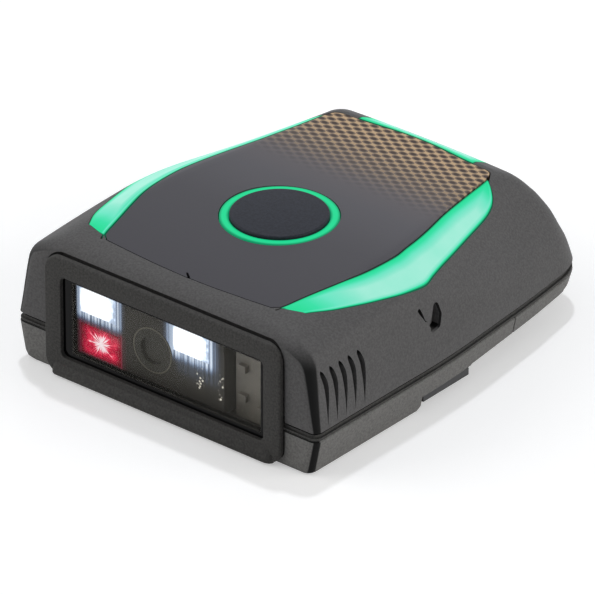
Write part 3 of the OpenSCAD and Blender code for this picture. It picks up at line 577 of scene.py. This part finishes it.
left_core = core_of(rim, np.minimum(np.minimum(from_inner / 1.4, to_outer / 1.0), ends * 1.3))
# Painted highlight: a thin pale line just inside the inner edge of the left guide.
left_core += 0.3 * np.exp(-((from_inner - 0.35) / 0.14) ** 2) * (rim > 0.1)
right_guide = lens(grid_x, grid_y, right_core)
left_guide = lens(-grid_x[:, ::-1], grid_y, left_core[:, ::-1])
dress(right_guide, "light_guide_right_lens", glow_green, "green_guide", "light_guide_right")
dress(left_guide, "light_guide_left_lens", glow_green, "green_guide", "light_guide_left")

strip_x = np.linspace(-strip_half + guide_in, strip_half - guide_in, 80)
strip_front = bow_y + bow_out * (1 + np.cos(np.pi * strip_x / bow_half)) / 2 + guide_in
across = np.linspace(0, 1, 21)[:, None]
grid_x = np.repeat(strip_x[None], len(across), 0)
grid_y = strip_front + (strip_y - guide_in - strip_front) * across
from_front, to_end = grid_y - strip_front, strip_half - guide_in - np.abs(grid_x)
strip_core = core_of(np.minimum(from_front, to_end), np.minimum(from_front / 1.7, to_end / 2.5))
strip = lens(grid_x, grid_y, strip_core)
dress(strip, "light_guide_rear_lens", glow_green, "green_guide", "light_guide_rear")

# Light ring and scan button: a ring of the same lit acrylic stands in the panel's round hole, and
# the button, a turned-looking disc of fine black ABS with rounded edges, slides up and down in it.
ring_foot, button_proud, button_fit, button_t, turn_count = 14.95, 0.35, 0.08, 1.7, 128


def lathe(profile, y):
    """A profile of radius and height turned round an upright axis at y. It starts and ends on the
    axis, or else closes on itself."""
    profile = np.asarray(profile, float)
    a = np.arange(turn_count) * 2 * np.pi / turn_count
    rows = join(profile[:, :1] * np.cos(a), y + profile[:, :1] * np.sin(a),
                np.repeat(profile[:, 1:], turn_count, 1))
    return solid(rows.reshape(-1, 3), quads(len(rows), turn_count, profile[0, 0] > 0))


def fillet(r, z, radius, start_angle, end_angle, count=7):
    """Arc of a profile about a centre, between two angles in degrees."""
    a = np.radians(np.linspace(start_angle, end_angle, count))
    return join(r + radius * np.cos(a), z + radius * np.sin(a))


ring_top, ring_edge = body_h - 0.05, 0.15
flat_r = np.linspace(ring_r - ring_edge - 0.05, ring_bore_r + ring_edge + 0.05, 6)
ring_profile = np.concatenate([
    [[ring_bore_r, ring_foot], [ring_r, ring_foot]],
    fillet(ring_r - ring_edge, ring_top - ring_edge, ring_edge, 0, 90),
    join(flat_r, np.full(6, ring_top)),
    fillet(ring_bore_r + ring_edge, ring_top - ring_edge, ring_edge, 90, 180)])
ring = lathe(ring_profile, button_y)
ring_rim = np.minimum(ring_r - ring_profile[:, 0], ring_profile[:, 0] - ring_bore_r)
ring_core = 0.04 + 0.1 * np.clip(ring_rim / 0.4, 0, 1)
with_core(ring, np.repeat(ring_core, turn_count))
dress(ring, "light_ring_lens", glow_green, "green_guide", "light_ring")


def moulded(name, dark, light, rough=0.5, size=0.22, depth=0.012):
    """Spark-eroded plastic or rubber: nearly matt, with a fine speckle of two near tones."""
    material, tree, place = start(name, Specular_IOR_Level=0.15)
    grain(tree, place, size, depth, rough, 0.06)
    speckle(tree, place, dark, light, "Base Color")
    return material


button_r, button_top, edge = ring_bore_r - button_fit, body_h + button_proud, 0.28
stem_r, stem_z, foot_bevel = 2.0, 16.47, 0.1
button_foot = button_top - button_t
button_profile = np.concatenate([
    [[0, stem_z], [stem_r, stem_z], [stem_r, button_foot], [button_r - foot_bevel, button_foot],
     [button_r, button_foot + foot_bevel]],
    fillet(button_r - edge, button_top - edge, edge, 0, 90), [[0, button_top]]])
button = lathe(button_profile, button_y)
button_plastic = moulded("ABS_charcoal_fine", "#1d1f27", "#272a33", size=0.16)
dress(button, "scan_button_disc", button_plastic, "button_plastic", "scan_button", body="button")

# Bezel: a frame of black rubber moulded round the window, in an upper part that goes with the upper
# housing and a lower part with a lip, and pushed on the front wall. Its edges are softly rounded.
window_half, window_low, window_high, window_r = 16.75, 2.95, 14.55, 0.8
bezel_out, bezel_gap, bezel_edge, mouth_edge = 0.8, 0.02, 0.3, 0.12
bezel_y = front_y - bezel_out


def frame_ring(outer, inner, rows):
    """A frame from contour to contour: each row is a share of the way from the outer contour to the
    inner one, an extra step outwards or inwards along that way, and a depth."""
    way = (inner - outer) / np.linalg.norm(inner - outer, axis=1, keepdims=True)
    ring = np.array([np.insert(outer + (inner - outer) * share + way * step, 1, y, axis=1)
                     for share, step, y in rows])
    return solid(ring.reshape(-1, 3), quads(*ring.shape[:2], True))


def round_over(share, y, radius, sign, count=6):
    """Rows that round an edge of the frame: steps along the way and depths of a quarter circle."""
    a = np.linspace(0, np.pi / 2, count)
    if sign > 0:
        return [(share, radius * (1 - np.cos(t)), y + radius * (1 - np.sin(t))) for t in a]
    return [(share, -radius * (1 - np.sin(t)), y + radius * (1 - np.cos(t))) for t in a]


outer_contour = rounded(bezel_half, bezel_low, bezel_high, bezel_r, 14)
inner_contour = rounded(window_half, window_low, window_high, window_r, 14)
bezel_rows = ([(0, 0, front_y - hair)] + round_over(0, bezel_y, bezel_edge, 1)
              + round_over(1, bezel_y, mouth_edge, -1) + [(1, 0, front_y - hair)])
lip_half, lip_y, lip_z = 18.2, -30.0, (0.3, 1.0, 1.9)
rubber_y = bezel_y + 0.4


def lip_solid():
    """The lip below the window: its side outline of depth and height, drawn out across the front and
    narrowed a little at both ends so that its corners are round."""
    side = np.array([[rubber_y, lip_z[0]], [lip_y + 0.2, lip_z[0]], [lip_y + 0.05, lip_z[0] + 0.08],
                     [lip_y, lip_z[0] + 0.25], [lip_y, lip_z[1] - 0.2], [lip_y + 0.05, lip_z[1]],
                     [bezel_y, lip_z[2]], [rubber_y, lip_z[2]]])
    x = np.array([-1, -0.985, -0.96, 0.96, 0.985, 1]) * lip_half
    squeeze = np.array([0.35, 0.75, 1, 1, 0.75, 0.35])
    rows = []
    for place, k in zip(x, squeeze):
        y = rubber_y + (side[:, 0] - rubber_y) * k
        rows.append(join(np.full(len(side), place), y, side[:, 1]))
    return stack(np.array(rows))


rubber = moulded("rubber_black_moulded", "#323130", "#454442", rough=0.6, size=0.3, depth=0.014)
for name, node, low, high in (("bezel_upper_rubber", "bezel_upper", seam_low + bezel_gap, body_h),
                              ("bezel_lower_rubber", "bezel_lower", -cut, seam_low)):
    bezel = frame_ring(outer_contour, inner_contour, bezel_rows)
    if low < 0:
        carve(bezel, lip_solid(), "UNION")
    carve(bezel, prism(box(-past, past, -past, 0), low, high), "INTERSECT")
    dress(bezel, name, rubber, "bezel_rubber", node)

# Scan window: a flat pane of clear coated acrylic, printed black along its edges and glued into the
# bezel on a rubber gasket. It is slightly smoky, so that it veils the engine.
pane_t, pane_set, pane_fit, smoke = 0.9, 0.25, 0.05, 0.14
pane_y = front_y - pane_set
pane_line = rounded(window_half - pane_fit, window_low + pane_fit, window_high - pane_fit, window_r)
pane = prism(pane_line, pane_y, pane_y + pane_t, "y")


def centred(tree, place, x=0, z=0):
    """Distances in mm across and up from a point of the front."""
    axes = add(tree, "SeparateXYZ", place).node.outputs
    return [add(tree, "Math.MULTIPLY_ADD", axes[name], 1000.0, -middle)
            for name, middle in (("X", x), ("Z", z))]


def smoky_pane():
    """Clear acrylic, slightly smoky, with a black printed border, wider along its left end and its foot."""
    material, tree, place = start("acrylic_clear_coated", Roughness=0.06, Specular_IOR_Level=0.1)
    across, up = centred(tree, place)
    border = None
    for source, low, high, first, last in ((across, -15.4, -14.9, 1.0, smoke), (up, 3.6, 4.0, 1.0, smoke),
                                           (across, 15.9, 16.0, smoke, 1.0), (up, 13.9, 14.05, smoke, 1.0)):
        edge = add(tree, "MapRange", source, low, high, first, last)
        border = edge if border is None else add(tree, "Math.MAXIMUM", border, edge)
    tree.links.new(border, tree.nodes["Principled BSDF"].inputs["Alpha"])
    black = add(tree, "MapRange", border, 0.3, 0.8)
    add(tree, "Mix", black, "#64625c", "#060607", to="Base Color")
    return material


dress(pane, "scan_window_pane", smoky_pane(), "window_glass", "scan_window")

# Scan engine: a black chassis that holds two white lamps behind clear lenses, a red aiming lamp
# behind a red lens and the camera barrel. Lamps and aimer are on, as in use.
lamp_x, lamp_z, lamp_shift = (-12.9, 2.6), 10.65, -0.4
aimer_x, aimer_z = -12.4, 5.05
camera_x, camera_z, barrel_r, rim_in = -3.8, 7.35, 3.3, 0.2


def length(tree, across, up):
    """Distance from the point that across and up are measured from."""
    return add(tree, "VectorMath.LENGTH", add(tree, "CombineXYZ", across, up))


def fall_off(tree, across, up, half_x, half_z, reach):
    """1 inside a rectangle of half sizes in mm, falling in a smooth step to 0 at a reach outside it."""
    beyond = []
    for source, half in ((across, half_x), (up, half_z)):
        over = add(tree, "Math.SUBTRACT", add(tree, "Math.ABSOLUTE", source), half)
        beyond.append(add(tree, "Math.MAXIMUM", over, 0.0))
    way = length(tree, *beyond)
    return add(tree, "MapRange", way, 0.0, reach, 1.0, 0.0, interpolation_type="SMOOTHERSTEP")


def lamp_glow(name, x, z):
    """Clear lens lit from behind: a blown-out white core that frays into bluish streaks at its edges."""
    material, tree, place = start(name, Roughness=0.15, Base_Color="#c8d0da", Emission_Strength=1.5)
    across, up = centred(tree, place, x, z)
    streak = add(tree, "TexNoise", across, 3.4, 3.0, noise_dimensions="1D")
    rough = add(tree, "Math.ADD", streak, add(tree, "TexNoise", place, 1400.0, 2.0))
    ripple = add(tree, "MapRange", rough, 0.75, 1.25, 0.0, 0.5)
    core = fall_off(tree, across, up, 1.5, 0.7, 1.9)
    total = add(tree, "Math.MULTIPLY_ADD", core, 1.1, ripple, use_clamp=True)
    stops = ((0, "#4f5f78"), (0.3, "#8fa3bd"), (0.55, "#e2ecf8"), (1, "#ffffff"))
    add(tree, "ValToRGB", total, stops=stops, to="Emission Color")
    return material


def aimer_glow(name, x, z):
    """Red lens with the aiming lamp on: a white-pink star with fine rays on a deep red ground."""
    material, tree, place = start(name, Roughness=0.2, Base_Color="#6a0818", Emission_Strength=1.1)
    across, up = centred(tree, place, x, z)
    angle = add(tree, "Math.ARCTAN2", up, across)
    rays = add(tree, "TexNoise", angle, 6.0, 0.0, noise_dimensions="1D")
    reach = add(tree, "MapRange", rays, 0.3, 0.75, 0.7, 3.2)
    share = add(tree, "Math.DIVIDE", length(tree, across, up), reach)
    star = add(tree, "MapRange", share, 0.05, 1.0, 1.0, 0.0, interpolation_type="SMOOTHSTEP")
    edge = fall_off(tree, across, up, 1.9, 0.9, 2.0)
    ground = add(tree, "Math.MULTIPLY", edge, add(tree, "TexNoise", place, 1100.0, 2.0))
    total = add(tree, "Math.MULTIPLY_ADD", star, 0.75, ground, use_clamp=True)
    stops = ((0, "#42060f"), (0.35, "#b01038"), (0.6, "#e8244c"), (0.8, "#ff7c96"), (1, "#fff2f5"))
    add(tree, "ValToRGB", total, stops=stops, to="Emission Color")
    return material


def pin_spots(tree, place, x, z, half_x, half_z):
    """1 on small round pin ends in an upright column about x and z, 0 beside them: where glints are painted.
    """
    spot = add(tree, "MapRange", add(tree, "TexVoronoi", place, 1000 / 0.46), 0.26, 0.42, 1.0, 0.0)
    column = fall_off(tree, *centred(tree, place, x, z), half_x, half_z, 0.2)
    return add(tree, "Math.MULTIPLY", spot, column)


def lit_chassis():
    """Black polyamide round the lamps: their light spills over it as painted, streaked bluish halos and
    a red one, each bright at the lens and dark at its reach, and two columns of plated pin ends show
    as painted glints."""
    material, tree, place = start("polyamide_black", Specular_IOR_Level=0.2, Emission_Strength=1.3)
    noise = grain(tree, place, 0.5, 0.006, 0.55, 0.06)
    add(tree, "Mix", noise, "#45433f", "#504e49", to="Base Color")
    streak = add(tree, "TexNoise", centred(tree, place)[0], 2.6, 4.0, noise_dimensions="1D")
    uneven = add(tree, "MapRange", streak, 0.38, 0.62, 0.4, 1.0)
    lit = None
    # Painted light: each halo is emission painted on the chassis round a lens.
    for x, z, half_x, half_z, reach, *colours in halo_at:
        near = fall_off(tree, *centred(tree, place, x, z), half_x, half_z, reach)
        level = add(tree, "Math.MULTIPLY", near, uneven)
        layer = add(tree, "ValToRGB", level, stops=tuple(zip((0, 0.3, 0.6, 1), ("#000000", *colours))))
        lit = layer if lit is None else add(tree, "Mix", 1.0, lit, layer, blend_type="ADD")
    # Painted highlights: the pin ends glint in the emission.
    pin_glints = add(tree, "Math.MAXIMUM", *(pin_spots(tree, place, *column) for column in pins_at))
    add(tree, "Mix", pin_glints, lit, "#d8d4c4", to="Emission Color")
    return material


def paint(node, material):
    """Gives a CAD node that stays a better material."""
    nodes[node].data.materials.clear()
    nodes[node].data.materials.append(material)


paint("lamp_lens_outer", lamp_glow("acrylic_lens_outer_lit", lamp_x[0] + lamp_shift, lamp_z))
paint("lamp_lens_inner", lamp_glow("acrylic_lens_inner_lit", lamp_x[1] + lamp_shift, lamp_z))
paint("aiming_lens", aimer_glow("acrylic_red_lit", aimer_x, aimer_z))
# Columns of painted pin glints, and the painted halos round each lens.
pins_at = ((4.15, 6.1, 0.5, 1.6), (7.55, 6.5, 0.3, 2.2))
halo_at = ((lamp_x[0], lamp_z, 2.9, 1.8, 1.9, "#465368", "#8fa0b8", "#dfe8f2"),
           (lamp_x[1], lamp_z, 2.9, 1.8, 2.1, "#465368", "#8fa0b8", "#dfe8f2"),
           (lamp_x[1] + 1.2, lamp_z - 1.9, 2.6, 2.0, 1.9, "#14181f", "#222933", "#38424f"),
           (aimer_x, aimer_z, 3.2, 2.0, 1.3, "#2a0812", "#4a0c20", "#7a1032"))
paint("engine_chassis", lit_chassis())


def turned_barrel():
    """Black polyamide, turned: dark like the chassis, with a thin pale ring where its front edge
    catches the light."""
    material, tree, place = start("polyamide_black_turned", Specular_IOR_Level=0.2)
    noise = grain(tree, place, 0.3, 0.01, 0.5, 0.05)
    cloth = add(tree, "Mix", noise, "#4a4944", "#53524c")
    radius = length(tree, *centred(tree, place, camera_x, camera_z))
    off = add(tree, "Math.SUBTRACT", radius, barrel_r - rim_in)
    rim = add(tree, "MapRange", add(tree, "Math.ABSOLUTE", off), 0.05, 0.14, 1.0, 0.0)
    add(tree, "Mix", rim, cloth, "#7e7b6e", to="Base Color")
    return material


paint("camera_barrel", turned_barrel())


def coated_lens():
    """Coated glass that looks into the dark barrel: as dark as its rim, with a soft olive sheen."""
    material, tree, place = start("glass_coated", Roughness=0.3, Specular_IOR_Level=0.2)
    noise = add(tree, "TexNoise", place, 500.0)
    add(tree, "Mix", noise, "#4a4944", "#53524c", to="Base Color")
    return material


paint("camera_lens", coated_lens())


def circuit(name, dark, light, speck, shade=0.0):
    """Solder mask over copper: tracks and pads show as a fine blocky pattern with small bright specks.
    With a shade, the left edge goes over into the chassis colour by that share, as painted shade
    beside the chassis."""
    material, tree, place = start(name, Roughness=0.35)
    blocks = add(tree, "TexVoronoi", place, 900.0, distance="MANHATTAN")
    ground = add(tree, "Mix", blocks, dark, light)
    spot = add(tree, "MapRange", add(tree, "TexVoronoi", place, 1400.0), 0.1, 0.2, 1.0, 0.0)
    dotted = add(tree, "Mix", spot, ground, speck, to="Base Color")
    if shade:
        # Painted shade: the board darkens towards its left edge beside the chassis.
        edge = add(tree, "MapRange", centred(tree, place)[0], 9.4, 12.5, shade, 0.0)
        add(tree, "Mix", edge, dotted, "#403e3a", to="Base Color")
    return material


paint("side_board", circuit("board_amber", "#8a857b", "#959085", "#b5ae9e", 0.4))
green_board = circuit("board_green", "#123f28", "#1b5637", "#b9c7a0")
for node in ("engine_board", "main_board", "contact_board"):
    paint(node, green_board)

# Small parts inside: lamps, chips, shields, contacts, cells and cushions on and below the main
# board. They are bought parts of moulded epoxy, plated steel, film and foam, soldered or stuck on.


def plain(name, dark, light, rough, metallic=0.0):
    """A small part's finish: two near tones in a fine noise, and a slight unevenness."""
    material, tree, place = start(name, Metallic=metallic)
    noise = grain(tree, place, 0.4, 0.004, rough, 0.05)
    add(tree, "Mix", noise, dark, light, to="Base Color")
    return material


small_parts = (
    ("silicone_black", "#141415", "#1c1c1d", 0.6, 0.0, "button_seal window_gasket foam_pad"),
    ("steel_tin_plated", "#b4b6b8", "#c6c8ca", 0.35, 1.0,
     "button_spring radio_shield vibration_motor board_screws"),
    ("polyamide_natural", "#cfcdc4", "#dad8d0", 0.45, 0.0, "tactile_switch antenna"),
    ("epoxy_black", "#1a1a1c", "#232325", 0.5, 0.0, "processor image_sensor beeper switch_plunger"),
    ("lamp_white_resin", "#e6e8e4", "#f4f4ee", 0.4, 0.0, "white_lamp_outer white_lamp_inner guide_lamps"),
    ("epoxy_red", "#8c1020", "#a81a2a", 0.3, 0.0, "aiming_lamp"),
    ("polyimide_film", "#a86a22", "#bd7c2e", 0.3, 0.0, "engine_flex"),
    ("shrink_wrap_blue", "#2f4f86", "#3a5c96", 0.3, 0.0, "battery_pack"),
    ("brass_gold_plated", "#c9a04a", "#dcb45c", 0.25, 1.0, "battery_contacts contact_pads"))
for name, dark, light, rough, metallic, members in small_parts:
    material = plain(name, dark, light, rough, metallic)
    for node in members.split():
        paint(node, material)

# Seam gasket: a strip of dark rubber between the housings, set back a little, so that a fine
# shadow line shows above and below it all round the body; its top faces are painted black as the
# shadow under the upper housing. Its core closes the seam further in.
gasket_back, gasket_low, gasket_high = 0.34, 5.45, 6.04
bead_back, bead_high = 0.03, 5.66
core_back, core_low, core_high = 0.9, 5.31, 6.39
gasket = prism(outline(0.0, gasket_back, gasket_back)[0], gasket_low, gasket_high)
carve(gasket, prism(outline(0.0, bead_back, bead_back)[0], gasket_low, bead_high), "UNION")
carve(gasket, prism(outline(0.0, core_back, core_back)[0], core_low, core_high), "UNION")
carve(gasket, prism(outline(0.0, wall, wall)[0], 0, body_h))
carve(gasket, prism(box(-front_open[0], front_open[0], -past, front_y + wall + cut), 0, body_h))
seam_rubber = moulded("rubber_dark_seam", "#3a3a39", "#4c4b49", rough=0.6, size=0.3)
dress(gasket, "seam_gasket_strip", seam_rubber, "black_rubber", "seam_gasket")
# Painted shadow: the gasket's top faces get a black material, as the shade under the upper housing.
gasket.data.materials.append(moulded("rubber_painted_seam_shadow", "#050505", "#090909", rough=0.7, size=0.3))
heights = [face.center[2] for face in gasket.data.polygons]
in_painted_shadow = np.array(heights) > (gasket_high - hair) * mm
gasket.data.polygons.foreach_set("material_index", in_painted_shadow.astype(np.int32))

# Lower housing and battery door: a tray of the same black ABS, painted a shade greyer to stand in
# for the light bounced up from the floor. Its front block carries the engine and the contacts, the
# door is its rear part behind a fine joint, and both are screwed from below.
lower_rings = [[0, 1.55, 0.5], [0.4, 1.05, 0.15], [1.1, 0.8, 0], [seam_low - 0.14, 0, 0],
               [seam_low, 0.14, 0.14]]
under_y, under_z, under_edge, step_y, under_rise = -7.2, 2.4, 0.9, 3.1, (2.55, 3.45)
foot_half, foot_rear, door_y, door_gap = 16.4, 24.4, 12.2, 0.2
floor_z = (1.6, 3.8, 1.7, 4.6)
case_screw_at = [[20.4, -20.6, 1.3], [20.5, 7.6, 3.2], [18.7, 22.5, 3.6]]
head_r, head_t, head_fit, shank_r, shank_fit = 1.9, 1.1, 0.1, 1.0, 0.06
boss_r, screw_sides, lower_wall = 2.8, 40, 2.4


def tray():
    """The lower body: the seam's outline drawn in from row to row down to the bottom edge, less the
    space under the latch plate, the slopes beside and behind the foot, and the inside."""
    rows = np.array([np.insert(outline(0.0, side, front)[0], 2, z, axis=1) for z, side, front in lower_rings])
    body = stack(rows)
    under = [[under_y - under_edge, -cut], [step_y, -cut], [step_y, under_z], [under_y, under_z],
             [under_y, under_edge], [under_y - under_edge, 0]]
    carve(body, prism(under, -past, past, "x"))
    wedge = [[step_y - hair, -cut], [rear_y + cut, -cut], [rear_y + cut, under_rise[1]],
             [step_y - hair, under_rise[0]]]
    for low, high in ((-past, -foot_half), (foot_half, past)):
        carve(body, prism(wedge, low, high, "x"))
    carve(body, prism(box(-past, past, foot_rear, rear_y + cut), -cut, under_rise[1]))
    hollow = prism(outline(0.0, lower_wall, lower_wall)[0], floor_z[0], seam_low + cut)
    rooms = [(past, front_y, under_y - wall, floor_z[0]), (past, under_y - 2 * wall, step_y + 2, floor_z[1]),
             (foot_half - wall, step_y + wall, foot_rear - wall, floor_z[2]),
             (past, step_y, rear_y, floor_z[3])]
    spaces = [prism(box(-half, half, y0, y1), low, seam_high) for half, y0, y1, low in rooms]
    for room in spaces[1:]:
        carve(spaces[0], room, "UNION")
    carve(hollow, spaces[0], "INTERSECT")
    screws = [(side * x, y, z) for x, y, z in case_screw_at for side in (-1, 1)]
    for x, y, z in screws:
        carve(hollow, prism(circle(x, y, boss_r, screw_sides), 0, seam_high))
    carve(body, hollow)
    for x, y, z in screws:
        carve(body, prism(circle(x, y, shank_r + shank_fit, screw_sides), -cut, seam_high))
        carve(body, prism(circle(x, y, head_r + head_fit, screw_sides), -cut, z + head_t))
    return body


# Painted light: the tray's tones are lighter than the upper shell's, standing in for floor bounce.
tray_plastic_painted_bounce = housing_plastic("ABS_black_painted_floor_bounce", "#62615f", "#777674")
lower = tray()
carve(lower, prism(box(-past, past, door_y, past), -cut, seam_high))
carve(lower, prism(rounded(*front_open), front_y - cut, front_y + wall + 2 * cut, "y"))
carve(lower, bezel_groove())
pad_x, pad_y, pad_half = (-6, -2, 2, 6), -12.2, (1.15, 1.55)
for x in pad_x:
    hole = box(x - pad_half[0], x + pad_half[0], pad_y - pad_half[1], pad_y + pad_half[1])
    carve(lower, prism(hole, -cut, 4 * cut))
dress(lower, "lower_housing_tray", tray_plastic_painted_bounce, "housing_plastic", "lower_housing")

door = tray()
carve(door, prism(box(-past, past, -past, door_y + door_gap), -cut, seam_high))
dress(door, "battery_door_cover", tray_plastic_painted_bounce, "housing_plastic", "battery_door")

# Latch plate and screws: the plate is pressed steel with a black coat, held by two small screws,
# and the case screws are zinc plated. They sit in their holes below the housing.
paint("latch_plate", plain("steel_black_coated", "#232325", "#2d2d2f", 0.42))
screw_steel = plain("steel_zinc_plated", "#8f9296", "#a3a6aa", 0.35, 1.0)
for node in ("latch_screws", "case_screws"):
    paint(node, screw_steel)

# Studio: a plain pale floor, a large soft lamp on each side and one above, a pale world, and the
# camera far off on the photograph's line of sight. None of it is part of the object.
floor_reach, ground_z = 6000.0, -0.02


def seen(tree):
    """1 on rays from the camera, also past glass and off gloss, and 0 on those that light the object."""
    rays = add(tree, "LightPath").node.outputs
    level = rays["Is Camera Ray"]
    for kind in ("Is Glossy Ray", "Is Transmission Ray"):
        level = add(tree, "Math.MAXIMUM", level, rays[kind])
    return level


floor_corners = np.insert(box(-floor_reach, floor_reach, -floor_reach, floor_reach), 2, ground_z, axis=1)
floor = solid(floor_corners, [(0, 1, 2, 3)])
floor.name = "floor"
paper, tree, place = start("paper_white", Roughness=0.6, Base_Color="#e8e8e8", Emission_Color="#ffffff")
add(tree, "Math.MULTIPLY", seen(tree), 0.38, to="Emission Strength")
floor.data.materials.append(paper)

world = bpy.data.worlds.new("studio")
scene.world = world
world.use_nodes = True
sky = world.node_tree
backdrop = sky.nodes["Background"].inputs
backdrop["Color"].default_value = (0.96, 0.975, 1, 1)
sky.links.new(add(sky, "MapRange", seen(sky), 0.0, 1.0, 0.28, 1.0), backdrop["Strength"])


def facing(azimuth, elevation):
    """Right, up and back direction of what looks at the object from an azimuth and elevation in degrees."""
    a, e = np.radians([azimuth, elevation])
    back = np.array([np.sin(a) * np.cos(e), -np.cos(a) * np.cos(e), np.sin(e)])
    right = np.array([np.cos(a), np.sin(a), 0.0])
    return right, np.cross(back, right), back


def put(data, ways, spot):
    """A lamp or camera at a spot in metres, turned to its right, up and back directions."""
    thing = bpy.data.objects.new(data.name, data)
    turn = Matrix(np.stack(ways, 1).tolist()).to_4x4()
    turn.translation = spot
    thing.matrix_world = turn
    scene.collection.objects.link(thing)
    return thing


warm, cool, lamp_distance = (1.0, 0.985, 0.96), (0.93, 0.955, 1.0), 0.9
for name, azimuth, elevation, size, power, colour in (("lamp_left", -50, 28, 0.7, 3.0, warm),
                                                      ("lamp_right", 110, 22, 0.7, 3.9, warm),
                                                      ("lamp_top", 0, 85, 0.8, 0.1, cool),
                                                      ("lamp_back", -140, 72, 0.05, 2.0, cool)):
    light = bpy.data.lights.new(name, "AREA")
    light.shape, light.size, light.energy, light.color = "SQUARE", size, power, colour
    ways = facing(azimuth, elevation)
    put(light, ways, ways[2] * lamp_distance)

camera_distance, camera_lens, sensor_w = 1.2, 567.9, 36.0
view_middle, view_shift = (0, 0.7, 10.35), (-2.076448, -5.021713)
right, up, back = facing(39.823, 29.446)
aim = view_middle + view_shift[0] * right + view_shift[1] * up
camera_data = bpy.data.cameras.new("camera")
camera_data.lens, camera_data.sensor_width = camera_lens, sensor_w
camera_data.clip_start, camera_data.clip_end = 0.05, 50.0
scene.camera = put(camera_data, (right, up, back), aim * mm + back * camera_distance)
scene.view_settings.view_transform = "Standard"
